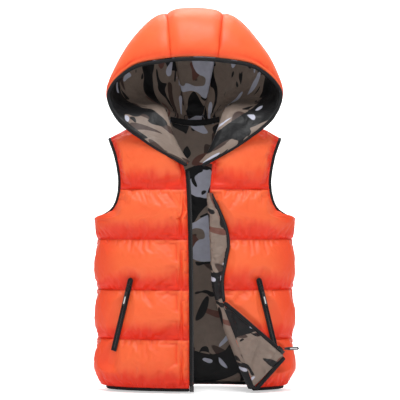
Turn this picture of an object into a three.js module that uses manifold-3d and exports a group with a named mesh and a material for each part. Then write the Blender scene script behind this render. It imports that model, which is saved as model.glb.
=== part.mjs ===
// Hooded padded waistcoat: quilted body, three-panel hood, bound edges, open-ended front zip with its left
// edge turned out, and two slanted zip pockets. Millimetres, +Z up, front towards -Y.
// Garment coordinates stand on the hem: z = 0 is the hem, y = 0 the side-seam plane, +X the wearer's left.
// The exported group moves them so that the origin is the hook seat of the hanger loop.
import * as THREE from 'three';
import { mergeVertices } from 'three/addons/utils/BufferGeometryUtils.js';
import Module from 'manifold-3d';

const wasm = await Module();
wasm.setup();

// ---- Driving dimensions: body ----
const CHEST_HALF_WIDTH = 251;
const HEM_HALF_WIDTH = 229;
const HEM_FLARE_HEIGHT = 60;
const BODY_DEPTH = 90;
const ARMHOLE_BOTTOM = 437;
const ARMHOLE_CUT_IN = 55;
const SHOULDER_TIP_X = 224;
const SHOULDER_TIP_Z = 640;
const SHOULDER_SLOPE = 0.545;
const SHOULDER_ROUNDING = 180;
const TIP_ROUNDING = 80;
const NECK_HALF_WIDTH = 88;
const BACK_NECK_DROP = 20;
const FRONT_NECK_Z = 553;
const QUILT_SEAMS = [130.5, 255, 382, 508];

// ---- Driving dimensions: layers, measured inwards from the outer face ----
const SHELL = 1.2;
const WADDING = 8;
const BAG = 1.2;
const LINING = 1;
const GAP = 0.3;
const EDGE_GAP = 1.6;

// ---- Driving dimensions: trims and zips ----
const HEM_BINDING = 10;
const ARMHOLE_BINDING = 7.5;
const HOOD_BINDING = 7.5;
const BINDING_PROUD = 1.2;
const TAPE_WIDTH = 11;
const TAPE_THICKNESS = 1.4;
const TEETH_WIDTH = 4;
const TEETH_THICKNESS = 3;
const POCKET_LENGTH = 191;
const POCKET_WIDTH = 15;
const POCKET_TOP_INSET = 92;
const POCKET_FOOT_INSET = 47;
const POCKET_MIDDLE_Z = 193;
const SLIDER_LENGTH = 12;
const SLIDER_WIDTH = 9;
const LINK_LENGTH = 12;
const TAB_LENGTH = 36;
const TAB_WIDTH = 8;

// ---- Driving dimensions: hood and loop ----
const HOOD_LAYERS = { shell: 1, wadding: 6, lining: 1 };
const CENTRE_PANEL_SHARE = 0.12;
const HOOD_SPLIT = 2 / 3;
const LOOP_WIDTH = 52;
const LOOP_STRAP = 6;
const LOOP_THICKNESS = 2;
const LOOP_HEIGHT = 16;

const WADDING_AT = SHELL + GAP;
const BAG_CLEARANCE = 1.3;
const BAG_AT = WADDING_AT + WADDING + BAG_CLEARANCE;
const LINING_AT = BAG_AT + BAG + BAG_CLEARANCE;
const BODY_THICKNESS = LINING_AT + LINING;

// ---- Materials ----
const finish = (color, roughness) => new THREE.MeshStandardMaterial({ color, roughness, metalness: 0 });
const ORANGE = finish(0xff5a2d, 0.42);
const CAMOUFLAGE = finish(0x6e6259, 0.55);
const BLACK_TAPE = finish(0x141414, 0.7);
const BLACK_PLASTIC = finish(0x0c0c0c, 0.35);
const WHITE_WADDING = finish(0xe8e6e0, 0.95);

// ---- Small helpers ----
const clamp = (value, low, high) => Math.min(high, Math.max(low, value));
const mix = (a, b, share) => a + (b - a) * share;
const radians = THREE.MathUtils.degToRad;

// The value at share 0..1 of a list of numbers, straight between neighbours.
function along(list, share) {
  const place = clamp(share, 0, 1) * (list.length - 1);
  const index = Math.min(Math.floor(place), list.length - 2);
  return mix(list[index], list[index + 1], place - index);
}

// x of an outline of [x, z] points, listed upwards, at height z.
function outlineX(outline, z) {
  let index = 0;
  while (index < outline.length - 2 && outline[index + 1][1] < z) {
    index += 1;
  }
  const [x0, z0] = outline[index];
  const [x1, z1] = outline[index + 1];
  return mix(x0, x1, clamp((z - z0) / (z1 - z0), 0, 1));
}

// Merged, closed and outward-facing copy of a geometry.
function closed(geometry) {
  const bare = geometry.clone();
  bare.deleteAttribute('normal');
  bare.deleteAttribute('uv');
  const merged = mergeVertices(bare, 1e-4);
  if (signedVolume(merged) < 0) {
    const index = merged.index.array;
    for (let i = 0; i < index.length; i += 3) {
      [index[i], index[i + 1]] = [index[i + 1], index[i]];
    }
  }
  merged.computeVertexNormals();
  return merged;
}

function signedVolume(geometry) {
  const corner = [new THREE.Vector3(), new THREE.Vector3(), new THREE.Vector3()];
  let sum = 0;
  for (let i = 0; i < geometry.index.count; i += 3) {
    corner.forEach((c, k) => c.fromBufferAttribute(geometry.attributes.position, geometry.index.getX(i + k)));
    sum += corner[0].dot(corner[1].clone().cross(corner[2])) / 6;
  }
  return sum;
}

function toSolid(geometry) {
  const body = closed(geometry);
  return new wasm.Manifold(new wasm.Mesh({
    numProp: 3,
    vertProperties: new Float32Array(body.attributes.position.array),
    triVerts: new Uint32Array(body.index.array),
  }));
}

function fromSolid(solid) {
  const mesh = solid.getMesh();
  const geometry = new THREE.BufferGeometry();
  geometry.setAttribute('position', new THREE.BufferAttribute(mesh.vertProperties, 3));
  geometry.setIndex(new THREE.BufferAttribute(mesh.triVerts, 1));
  geometry.computeVertexNormals();
  return geometry;
}

const cut = (body, ...tools) => fromSolid(tools.reduce((s, t) => s.subtract(toSolid(t)), toSolid(body)));
const join = (body, ...more) => fromSolid(more.reduce((s, t) => s.add(toSolid(t)), toSolid(body)));

// A box given by its size and its centre.
function block(width, depth, height, x = 0, y = 0, z = 0) {
  return new THREE.BoxGeometry(width, depth, height).translate(x, y, z);
}

// Unit normal of the surface point(u, v).
function surfaceNormal(point, u, v) {
  const step = 1e-3;
  const across = point(Math.min(u + step, 1), v).sub(point(Math.max(u - step, 0), v));
  const upward = point(u, Math.min(v + step, 1)).sub(point(u, Math.max(v - step, 0)));
  return across.cross(upward).normalize();
}

// Closed sheet between two offsets (mm along the normal) of the surface point(u, v). Both faces have their
// quads split along the same diagonal, so that sheets lying on each other stay parallel.
function slab(point, low, high, columns, rows, normalOf = surfaceNormal) {
  const places = [];
  for (const offset of [low, high]) {
    for (let row = 0; row <= rows; row += 1) {
      for (let column = 0; column <= columns; column += 1) {
        const u = column / columns;
        const v = row / rows;
        places.push(...point(u, v).addScaledVector(normalOf(point, u, v), offset).toArray());
      }
    }
  }
  const faces = [];
  const quad = (p, q, r, s) => faces.push(p, q, r, p, r, s);
  const low0 = (column, row) => row * (columns + 1) + column;
  const high0 = (column, row) => low0(column, row) + (columns + 1) * (rows + 1);
  for (let row = 0; row < rows; row += 1) {
    for (let column = 0; column < columns; column += 1) {
      const ring = [[column, row], [column + 1, row], [column + 1, row + 1], [column, row + 1]];
      const top = ring.map(([c, r]) => high0(c, r));
      const foot = ring.map(([c, r]) => low0(c, r));
      faces.push(top[0], top[1], top[2], top[0], top[2], top[3]);
      faces.push(foot[0], foot[2], foot[1], foot[0], foot[3], foot[2]);
    }
  }
  for (let column = 0; column < columns; column += 1) {
    quad(low0(column, 0), low0(column + 1, 0), high0(column + 1, 0), high0(column, 0));
    quad(low0(column + 1, rows), low0(column, rows), high0(column, rows), high0(column + 1, rows));
  }
  for (let row = 0; row < rows; row += 1) {
    quad(low0(0, row + 1), low0(0, row), high0(0, row), high0(0, row + 1));
    quad(low0(columns, row), low0(columns, row + 1), high0(columns, row + 1), high0(columns, row));
  }
  const geometry = new THREE.BufferGeometry();
  geometry.setAttribute('position', new THREE.Float32BufferAttribute(places, 3));
  geometry.setIndex(faces);
  return closed(geometry);
}

const garment = new THREE.Group();

function add(name, geometry, material, parent = garment) {
  const mesh = new THREE.Mesh(geometry, material);
  mesh.name = name;
  parent.add(mesh);
  return mesh;
}

// ---- Body surface ----
function halfWidth(z) {
  const flare = Math.sin(clamp(z / HEM_FLARE_HEIGHT, 0, 1) * Math.PI / 2);
  return mix(HEM_HALF_WIDTH, CHEST_HALF_WIDTH, flare);
}

// Ridge of the shoulders, rounded over the neck, and how far below it the body turns to the full depth.
const NECK_ROUND = 40;
const ridge = (x) => Math.hypot(x, NECK_ROUND);
const shoulderZ = (x) => SHOULDER_TIP_Z + (ridge(SHOULDER_TIP_X) - ridge(x)) * SHOULDER_SLOPE;
const turnHeight = (x) => mix(SHOULDER_ROUNDING, TIP_ROUNDING, clamp(x / SHOULDER_TIP_X, -1, 1) ** 2);
const NECK_POINT_Z = shoulderZ(NECK_HALF_WIDTH);

// Share of the shoulder turn reached at a height: 0 below it, 1 on the ridge.
const turnShare = (x, z) => clamp(1 - (shoulderZ(x) - z) / turnHeight(x), 0, 1);

function depthAt(x, z) {
  const round = Math.sqrt(Math.max(0, 1 - turnShare(x, z) ** 2));
  const ellipse = Math.sqrt(Math.max(0, 1 - (x / halfWidth(z)) ** 2));
  return BODY_DEPTH * ellipse * round;
}

// Unit vector into the body at a point of its outer surface.
function inward(point, u, v) {
  const { x, y, z } = point(u, v);
  const share = turnShare(x, z);
  const across = Math.max(0, 1 - (x / halfWidth(z)) ** 2);
  const lean = share * across / turnHeight(x);
  return new THREE.Vector3(
    -(x / halfWidth(z) ** 2) * (1 - share ** 2) - lean * SHOULDER_SLOPE * x / ridge(x),
    -y / BODY_DEPTH ** 2,
    -lean,
  ).normalize();
}

const frontPoint = (x, z) => new THREE.Vector3(x, -depthAt(x, z), z);
const backPoint = (x, z) => new THREE.Vector3(x, depthAt(x, z), z);

// Armhole edge of the body, [x, z] upwards from the foot of the armhole to the shoulder tip.
const armholeCurve = new THREE.CatmullRomCurve3([
  new THREE.Vector3(CHEST_HALF_WIDTH, 0, ARMHOLE_BOTTOM),
  new THREE.Vector3(CHEST_HALF_WIDTH - ARMHOLE_CUT_IN * 0.72, 0, mix(ARMHOLE_BOTTOM, SHOULDER_TIP_Z, 0.13)),
  new THREE.Vector3(CHEST_HALF_WIDTH - ARMHOLE_CUT_IN, 0, mix(ARMHOLE_BOTTOM, SHOULDER_TIP_Z, 0.38)),
  new THREE.Vector3(mix(CHEST_HALF_WIDTH - ARMHOLE_CUT_IN, SHOULDER_TIP_X, 0.3), 0,
    mix(ARMHOLE_BOTTOM, SHOULDER_TIP_Z, 0.72)),
  new THREE.Vector3(SHOULDER_TIP_X, 0, SHOULDER_TIP_Z),
]);
const armholeOutline = armholeCurve.getPoints(24).map((p) => [p.x, p.z]);

// Rows of a panel, heights at the armhole side: straight seams below, a round shoulder above.
const TOP_SEAM = QUILT_SEAMS[QUILT_SEAMS.length - 1];
const SHOULDER_TURN = Math.acos(1 - (SHOULDER_TIP_Z - TOP_SEAM) / SHOULDER_ROUNDING);
const shoulderRows = [5, 4, 3, 2, 1, 0].map(
  (step) => SHOULDER_TIP_Z - SHOULDER_ROUNDING * (1 - Math.cos(SHOULDER_TURN * step / 6)));
const ARMHOLE_STEPS = [-ARMHOLE_BINDING, 0, 8, 24, 46];
const panelRows = [HEM_BINDING, HEM_FLARE_HEIGHT, ...QUILT_SEAMS.slice(0, 3),
  ...ARMHOLE_STEPS.map((step) => ARMHOLE_BOTTOM + step), TOP_SEAM, ...shoulderRows];

// Height of a panel point: level up to the top seam, then rising to the shoulder or neck line above it.
function panelHeight(row, topZ) {
  const share = Math.max(0, (row - TOP_SEAM) / (SHOULDER_TIP_Z - TOP_SEAM));
  return share > 0 ? mix(TOP_SEAM, topZ, share) : row;
}

// Half-angle of the body ellipse at the panel's outer edge: side seam, or armhole less its binding.
const SEAM_EASE = 0.3;
function outerAngle(row, inset = ARMHOLE_BINDING) {
  if (row < ARMHOLE_BOTTOM) {
    return Math.acos(SEAM_EASE / BODY_DEPTH);
  }
  return Math.asin((outlineX(armholeOutline, row) - inset) / halfWidth(row));
}

// Point of a front panel, u from its inner edge to its side, v from hem to shoulder.
function frontPanel(side, innerOutline) {
  return (u, v) => {
    const row = along(panelRows, v);
    const innerZ = panelHeight(row, NECK_POINT_Z);
    const innerX = outlineX(innerOutline, innerZ);
    const innerAngle = Math.asin(innerX / halfWidth(innerZ));
    const angle = mix(innerAngle, outerAngle(row), u);
    const topAngle = mix(Math.asin(NECK_HALF_WIDTH / halfWidth(SHOULDER_TIP_Z)), outerAngle(SHOULDER_TIP_Z), u);
    const topX = halfWidth(SHOULDER_TIP_Z) * Math.sin(topAngle);
    const z = panelHeight(row, shoulderZ(topX));
    const point = frontPoint(halfWidth(z) * Math.sin(angle), z);
    point.x *= side;
    point.y = Math.min(point.y, -SEAM_EASE);
    return point;
  };
}

const neckLineZ = (x) => (Math.abs(x) > NECK_HALF_WIDTH ? shoulderZ(x)
  : NECK_POINT_Z - BACK_NECK_DROP * (1 - (x / NECK_HALF_WIDTH) ** 2));

// Point of the back panel, u from the right side seam to the left, v from hem to neck.
function backPanel(u, v) {
  const row = along(panelRows, v);
  const turn = 2 * u - 1;
  const topX = halfWidth(SHOULDER_TIP_Z) * Math.sin(turn * outerAngle(SHOULDER_TIP_Z));
  const z = panelHeight(row, neckLineZ(topX));
  const point = backPoint(halfWidth(z) * Math.sin(turn * outerAngle(row)), z);
  point.y = Math.max(point.y, SEAM_EASE);
  return point;
}

// Inner edges of the fronts, [x, z] upwards. Distances from the centre line.
const neckZ = (share) => mix(FRONT_NECK_Z, NECK_POINT_Z, share);
const NECK_CURVE = [[49, neckZ(0.385)], [74, neckZ(0.733)], [NECK_HALF_WIDTH, NECK_POINT_Z]];
const rightEdge = [[2, 0], [4, 331], [9, 506], [13, FRONT_NECK_Z]];
const rightPanelEdge = [...rightEdge.map(([x, z]) => [x + TAPE_WIDTH + GAP, z]), ...NECK_CURVE];
const leftCrease = [[146, 0], [127, 41], [101, 105.5], [83, 148.5], [66, 200], [58, 234], [50, 269],
  [47, 330], [45, 381], [41, 450], [37, 493], [49, FRONT_NECK_Z]];
const leftPanelEdge = [...leftCrease.map(([x, z]) => [x + 1, z]), ...NECK_CURVE];

// Turned-out edge of the left front above the loose corner.
const turnedEdge = [[77, 234], [71, 282], [79, 329], [86, 372], [79, 415], [58, 467], [50, 500]];

const PANEL_ROWS = panelRows.length - 1;
const layers = [
  ['shell', 0, SHELL, ORANGE],
  ['wadding', WADDING_AT, WADDING_AT + WADDING, WHITE_WADDING],
  ['lining', LINING_AT, BODY_THICKNESS, CAMOUFLAGE],
];
const rightFront = frontPanel(-1, rightPanelEdge);
const leftFront = frontPanel(1, leftPanelEdge);

for (const [name, low, high, material] of layers) {
  add(`back_${name}`, slab(backPanel, low, high, 14, PANEL_ROWS, inward), material);
  add(`right_front_${name}`, slab(rightFront, low, high, 7, PANEL_ROWS, inward), material);
  add(`left_front_${name}`, slab(leftFront, low, high, 7, PANEL_ROWS, inward), material);
}

// ---- Bindings of the armholes and the hem ----
// Armhole binding: v runs up the front from the foot of the armhole, over the tip and down the back.
const bindingRows = panelRows.filter((row) => row >= ARMHOLE_BOTTOM);
const BINDING_ROWS = [...bindingRows, ...[...bindingRows].reverse().slice(1)];
const BINDING_START = 0.004;

function armholeBinding(side) {
  return (u, v) => {
    const row = along(BINDING_ROWS, mix(BINDING_START, 1 - BINDING_START, v));
    const inset = mix(ARMHOLE_BINDING - EDGE_GAP, 0, u);
    const x = outlineX(armholeOutline, row) - inset;
    const z = panelHeight(row, shoulderZ(SHOULDER_TIP_X - inset));
    const point = v < 0.5 ? frontPoint(x, z) : backPoint(x, z);
    point.x *= side;
    return point;
  };
}

for (const [name, side] of [['right', -1], ['left', 1]]) {
  add(`${name}_armhole_binding`,
    slab(armholeBinding(side), -BINDING_PROUD, BODY_THICKNESS, 1, BINDING_ROWS.length - 1, inward), BLACK_TAPE);
}

// Hem binding: a level band under a panel.
function hemBand(pointAt, fromX, toX) {
  const start = Math.asin(clamp(fromX / HEM_HALF_WIDTH, -0.99999, 0.99999));
  const end = Math.asin(clamp(toX / HEM_HALF_WIDTH, -0.99999, 0.99999));
  return (u, v) => {
    const z = mix(0, HEM_BINDING - GAP, v);
    return pointAt(halfWidth(z) * Math.sin(mix(start, end, u)), z);
  };
}

add('back_hem_binding',
  slab(hemBand(backPoint, -HEM_HALF_WIDTH, HEM_HALF_WIDTH), -BINDING_PROUD, BODY_THICKNESS, 14, 1, inward),
  BLACK_TAPE);
add('right_hem_binding',
  slab(hemBand(frontPoint, -HEM_HALF_WIDTH, -rightPanelEdge[0][0]), -BINDING_PROUD, BODY_THICKNESS, 8, 1, inward),
  BLACK_TAPE);
add('left_hem_binding',
  slab(hemBand(frontPoint, leftPanelEdge[0][0], HEM_HALF_WIDTH), -BINDING_PROUD, BODY_THICKNESS, 6, 1, inward),
  BLACK_TAPE);

// ---- Front zip, right half: tape and teeth along the right front, insertion pin at its foot ----
const PIN_HEIGHT = 14;
const zipHeights = [...Array(13).keys()].map((step) => mix(PIN_HEIGHT + GAP, FRONT_NECK_Z, step / 12));
const bandOn = (edge, side, inner, outer) => (u, v) => {
  const z = along(zipHeights, v);
  const point = frontPoint(outlineX(edge, z) + mix(inner, outer, u), z);
  point.x *= side;
  return point;
};
const ZIP_AT = (BODY_THICKNESS - TAPE_THICKNESS) / 2;
const TEETH_AT = (BODY_THICKNESS - TEETH_THICKNESS) / 2;
add('right_zip_tape',
  slab(bandOn(rightEdge, -1, TEETH_WIDTH + GAP, TAPE_WIDTH), 0, BODY_THICKNESS, 1, 12, inward), BLACK_TAPE);
add('right_zip_teeth',
  slab(bandOn(rightEdge, -1, 0, TEETH_WIDTH), TEETH_AT, TEETH_AT + TEETH_THICKNESS, 1, 12, inward),
  BLACK_PLASTIC);
const pinX = -(rightEdge[0][0] + TAPE_WIDTH / 2);
add('zip_insertion_pin',
  block(TAPE_WIDTH, BODY_THICKNESS - 4, PIN_HEIGHT, pinX, -BODY_DEPTH + BODY_THICKNESS / 2, PIN_HEIGHT / 2),
  BLACK_PLASTIC);

// ---- Turned-out edge of the left front: facing lining, its backing, and the zip tape on its edge ----
const FOLD_CLEARANCE = 3;
const FACING_SHELL = 1;
const FACING_PAD = 5;
const facingRows = [...Array(9).keys()].map((step) => mix(242, 496, step / 8));
const facing = (fromShare, toShare, insetStart, insetEnd) => (u, v) => {
  const z = along(facingRows, v);
  const crease = outlineX(leftCrease, z) + 1;
  const edge = outlineX(turnedEdge, z);
  return frontPoint(mix(mix(crease, edge, fromShare) + insetStart, mix(crease, edge, toShare) + insetEnd, u), z);
};
const FACING_BAND = 9;
add('left_facing_shell',
  slab(facing(0, 1, 0, -FACING_BAND - GAP), -FOLD_CLEARANCE, -FOLD_CLEARANCE - FACING_SHELL, 2, 8, inward), ORANGE);
add('left_facing_lining',
  slab(facing(0, 1, 0, -FACING_BAND - GAP), -FOLD_CLEARANCE - FACING_SHELL - GAP,
    -FOLD_CLEARANCE - FACING_SHELL - GAP - FACING_PAD, 2, 8, inward), CAMOUFLAGE);
add('left_upper_zip_tape',
  slab(facing(1, 1, -FACING_BAND, -TEETH_WIDTH - GAP), -FOLD_CLEARANCE, -FOLD_CLEARANCE - FACING_PAD, 1, 8, inward),
  BLACK_TAPE);
add('left_upper_zip_teeth',
  slab(facing(1, 1, -TEETH_WIDTH, 0), -FOLD_CLEARANCE - 1, -FOLD_CLEARANCE - 1 - TEETH_THICKNESS, 1, 8, inward),
  BLACK_PLASTIC);

// ---- Hood: a patch from its opening edge back to the neckline ----
// Half-hood meridians from the foot of the opening to the middle of the crown. Each is a cubic curve:
// point on the opening edge, two handles, point on the neckline; [x, y, z].
const BRIM_HEIGHT = 117;
const CROWN_HEIGHT = 258;
const NAPE_DROP = 16;
const HOOD_HALF_WIDTH = 218;
const above = (height) => NECK_POINT_Z + height;
const front = (stand) => -(BODY_DEPTH + stand);
const meridians = [
  [[20, front(18), FRONT_NECK_Z + 9], [18, front(14), FRONT_NECK_Z + 11], [16, front(10), FRONT_NECK_Z + 13],
    [14, front(8), FRONT_NECK_Z + 15]],
  [[126, front(2), neckZ(0.455)], [108, front(-2), neckZ(0.423)], [72, front(0), neckZ(0.41)],
    [49, front(6), neckZ(0.423)]],
  [[200, front(-6), neckZ(0.865)], [200, front(-38), neckZ(0.828)], [136, front(-50), neckZ(0.853)],
    [78, front(-36), neckZ(0.941)]],
  [[HOOD_HALF_WIDTH, front(-20), above(41)], [HOOD_HALF_WIDTH + 14, -10, above(64)], [190, 62, above(17)],
    [NECK_HALF_WIDTH, 8, above(7)]],
  [[158, front(-1), above(96)], [182, -40, above(240)], [190, 150, above(89)], [60, 54, above(-6)]],
  [[80, front(12), above(112)], [106, -85, above(324)], [112, 205, above(254)], [30, 68, above(-13)]],
  [[0, front(16), above(BRIM_HEIGHT)], [0, -95, above(CROWN_HEIGHT + 100)], [0, 215, above(CROWN_HEIGHT + 16)],
    [0, 74, above(-NAPE_DROP)]],
];
const handleCurves = [0, 1, 2, 3].map((handle) => {
  const half = meridians.map((meridian) => new THREE.Vector3(...meridian[handle]));
  const mirrored = [...half].reverse().slice(1).map((p) => new THREE.Vector3(-p.x, p.y, p.z));
  return new THREE.CatmullRomCurve3([...half, ...mirrored], false, 'centripetal');
});

// Curve of the hood at turn -1 (right foot of the opening) .. 0 (crown) .. 1 (left foot).
function hoodCurve(turn) {
  const handles = handleCurves.map((curve) => curve.getPoint(clamp((1 - turn) / 2, 0, 1)));
  return new THREE.CubicBezierCurve3(...handles);
}

// Point of the hood between listed turns, keeping distances from the opening edge and the neckline.
const hoodPatch = (turns, edgeInset, neckInset) => (u, v) => {
  const curve = hoodCurve(along(turns, u));
  const length = curve.getLength();
  return curve.getPoint(mix(edgeInset / length, 1 - neckInset / length, v));
};
const steps = (from, to, count) => [...Array(count + 1).keys()].map((step) => mix(from, to, step / count));
const hoodEdge = (fromTurn, toTurn, width) => (u, v) => {
  const curve = hoodCurve(mix(fromTurn, toTurn, u));
  return curve.getPoint(mix(0, width / curve.getLength(), v));
};

const hoodLayers = [
  ['shell', 0, HOOD_LAYERS.shell, ORANGE],
  ['wadding', HOOD_LAYERS.shell + GAP, HOOD_LAYERS.shell + GAP + HOOD_LAYERS.wadding, WHITE_WADDING],
  ['lining', HOOD_LAYERS.shell + HOOD_LAYERS.wadding + 2 * GAP,
    HOOD_LAYERS.shell + HOOD_LAYERS.wadding + HOOD_LAYERS.lining + 2 * GAP, CAMOUFLAGE],
];
const HOOD_THICKNESS = HOOD_LAYERS.shell + HOOD_LAYERS.wadding + HOOD_LAYERS.lining + 2 * GAP;
const PANEL_GAP = 0.004;
const HOOD_ROWS = 9;
const hoodPanels = [
  ['right', steps(-HOOD_SPLIT + PANEL_GAP, -CENTRE_PANEL_SHARE - PANEL_GAP, 7)],
  ['centre', steps(-CENTRE_PANEL_SHARE + PANEL_GAP, CENTRE_PANEL_SHARE - PANEL_GAP, 2)],
  ['left', steps(CENTRE_PANEL_SHARE + PANEL_GAP, HOOD_SPLIT - PANEL_GAP, 7)],
];
function addHoodLayer(name, turns, low, high, material) {
  const patch = hoodPatch(turns, HOOD_BINDING + EDGE_GAP, 2);
  add(name, slab(patch, -low, -high, turns.length - 1, HOOD_ROWS), material);
}
for (const [layer, low, high, material] of hoodLayers) {
  if (layer === 'wadding') {
    addHoodLayer('hood_wadding', hoodPanels.flatMap(([, turns]) => turns), low, high, material);
    continue;
  }
  for (const [side, turns] of hoodPanels) {
    addHoodLayer(`hood_${side}_${layer}`, turns, low, high, material);
  }
}
add('hood_binding',
  slab(hoodEdge(-HOOD_SPLIT + PANEL_GAP, HOOD_SPLIT - PANEL_GAP, HOOD_BINDING), BINDING_PROUD, -HOOD_THICKNESS,
    16, 1), BLACK_TAPE);

// Foot strips of the hood, sewn to the front necklines; they stay with the body.
const STRIP_END = 0.985;
for (const [side, fromTurn, toTurn] of [['right', -STRIP_END, -HOOD_SPLIT], ['left', HOOD_SPLIT, STRIP_END]]) {
  const patch = hoodPatch(steps(fromTurn, toTurn, 7), HOOD_BINDING + 3 * EDGE_GAP, 2);
  const padding = -HOOD_LAYERS.shell - GAP;
  add(`${side}_collar_shell`, slab(patch, 0, -HOOD_LAYERS.shell, 7, 3), ORANGE);
  add(`${side}_collar_lining`, slab(patch, padding, -HOOD_THICKNESS, 7, 3), CAMOUFLAGE);
  add(`${side}_collar_binding`,
    slab(hoodEdge(fromTurn, toTurn, HOOD_BINDING), BINDING_PROUD, -HOOD_THICKNESS, 7, 1), BLACK_TAPE);
}

// ---- Neck seam tape and hanger loop inside the back neck ----
const TAPE_HALF_WIDTH = NECK_HALF_WIDTH - 10;
const tapeStart = 0.5 - 0.5 * Math.asin(TAPE_HALF_WIDTH / CHEST_HALF_WIDTH) / outerAngle(SHOULDER_TIP_Z);
const tapeRow = (v) => along([panelRows.length - 3, panelRows.length - 1.02], v) / (panelRows.length - 1);
const neckTape = (u, v) => backPanel(mix(tapeStart, 1 - tapeStart, u), tapeRow(v));
const neckInward = (point, u, v) => inward(backPanel, mix(tapeStart, 1 - tapeStart, u), tapeRow(v));
const NECK_TAPE_AT = BODY_THICKNESS + 3.4;
const NECK_TAPE_THICKNESS = 1.2;
add('neck_seam_tape',
  slab(neckTape, NECK_TAPE_AT, NECK_TAPE_AT + NECK_TAPE_THICKNESS, 14, 2, neckInward), BLACK_TAPE);

const LOOP_EASE = 5;

// The loop stands just inside the tape: its back clears the highest row of the tape's inner face.
const loopWall = neckTape(0.5, 1).addScaledVector(neckInward(null, 0.5, 1), NECK_TAPE_AT + NECK_TAPE_THICKNESS);
const LOOP_SEAT_Z = loopWall.z + LOOP_HEIGHT;
const LOOP_Y = loopWall.y - LOOP_STRAP / 2 - GAP - LOOP_EASE;

// Arched strap: a flat bar over two legs. The hook bears on the flat underside of the bar, at the origin.
function archedStrap() {
  const half = LOOP_WIDTH / 2;
  const arch = new THREE.Shape();
  arch.moveTo(-half - LOOP_THICKNESS, -LOOP_HEIGHT);
  arch.lineTo(-half, -LOOP_HEIGHT);
  arch.lineTo(-half, 0);
  arch.lineTo(half, 0);
  arch.lineTo(half, -LOOP_HEIGHT);
  arch.lineTo(half + LOOP_THICKNESS, -LOOP_HEIGHT);
  arch.lineTo(half + LOOP_THICKNESS, LOOP_THICKNESS);
  arch.lineTo(-half - LOOP_THICKNESS, LOOP_THICKNESS);
  arch.closePath();
  const strap = new THREE.ExtrudeGeometry(arch, { depth: LOOP_STRAP, bevelEnabled: false });
  return closed(strap.rotateX(Math.PI / 2).translate(0, LOOP_STRAP / 2, 0));
}
const hangerLoop = add('hanger_loop', archedStrap(), BLACK_TAPE);
hangerLoop.position.set(0, LOOP_Y, LOOP_SEAT_Z);

// ---- Slider and pull, shared by the three zips ----
// Zip coordinates: X along the zip towards its foot, Y across it, Z out of the garment; origin on the zip's
// face in the middle of the slider.
const SLIDER_PLATE = 1.4;
const BRIDGE_HEIGHT = 2;
const HINGE_RADIUS = 1.1;
const HINGE_LENGTH = 5;
const HINGE_GAP = 0.4;
const LINK_THICKNESS = 1.4;
const TAB_THICKNESS = 2.4;
const LINK_HOLE = 3;

// Slider above the tape: a plate with a raised bridge.
function surfaceSlider() {
  const plate = block(SLIDER_LENGTH, SLIDER_WIDTH, SLIDER_PLATE, 0, 0, SLIDER_PLATE / 2);
  const bridge = block(SLIDER_LENGTH / 2, SLIDER_WIDTH / 3, BRIDGE_HEIGHT, -1, 0, SLIDER_PLATE + BRIDGE_HEIGHT / 2 - 0.1);
  return join(plate, bridge);
}

// Slider round the edge of an open zip: two plates with a channel for the teeth between them.
function edgeSlider(channelHeight) {
  const height = channelHeight + 2 * SLIDER_PLATE;
  const body = block(SLIDER_LENGTH, SLIDER_WIDTH, height);
  const channel = block(SLIDER_LENGTH + 2, SLIDER_WIDTH, channelHeight, 0, -2);
  const bridge = block(SLIDER_LENGTH / 2, SLIDER_WIDTH / 3, BRIDGE_HEIGHT, -1, 0, height / 2 + BRIDGE_HEIGHT / 2 - 0.1);
  return join(cut(body, channel), bridge);
}

// Pull in its own coordinates: hinge bar along Y at the origin, link and tab along +X.
function pullLink() {
  const bar = new THREE.CylinderGeometry(HINGE_RADIUS, HINGE_RADIUS, HINGE_LENGTH, 12);
  const plate = block(LINK_LENGTH, HINGE_LENGTH, LINK_THICKNESS, LINK_LENGTH / 2, 0, 0);
  return cut(join(bar, plate), block(LINK_HOLE, LINK_HOLE, LINK_THICKNESS + 2, LINK_LENGTH - LINK_HOLE, 0, 0));
}

function pullTab() {
  const outline = new THREE.Shape();
  const half = TAB_WIDTH / 2;
  outline.moveTo(0, -half * 0.7);
  outline.lineTo(TAB_LENGTH - half, -half);
  outline.absarc(TAB_LENGTH - half, 0, half, -Math.PI / 2, Math.PI / 2, false);
  outline.lineTo(0, half * 0.7);
  outline.closePath();
  const tab = new THREE.ExtrudeGeometry(outline, { depth: TAB_THICKNESS, bevelEnabled: false, curveSegments: 6 });
  return closed(tab.translate(LINK_LENGTH + GAP, 0, -TAB_THICKNESS / 2));
}

function addPull(prefix, parent, x, y, z, turn) {
  const pull = new THREE.Group();
  pull.name = `${prefix}_pull_frame`;
  pull.position.set(x, y, z);
  pull.rotation.z = turn;
  parent.add(pull);
  add(`${prefix}_pull_link`, pullLink(), BLACK_PLASTIC, pull);
  add(`${prefix}_pull_tab`, pullTab(), BLACK_TAPE, pull);
}

// Group whose X axis points along a line, whose Z axis is close to out, placed at origin.
function lineFrame(name, origin, alongLine, out) {
  const xAxis = alongLine.clone().normalize();
  const zAxis = out.clone().addScaledVector(xAxis, -out.dot(xAxis)).normalize();
  const yAxis = zAxis.clone().cross(xAxis);
  const group = new THREE.Group();
  group.name = name;
  group.setRotationFromMatrix(new THREE.Matrix4().makeBasis(xAxis, yAxis, zAxis));
  group.position.copy(origin);
  garment.add(group);
  return group;
}

// ---- Slanted zip pockets: tape and coil on the shell, bag between wadding and lining ----
const POCKET_CLEARANCE = 2;
const POCKET_SLIDER_AT = 24;
const BAG_WIDTH = 120;
const COIL_WIDTH = 3;

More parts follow.
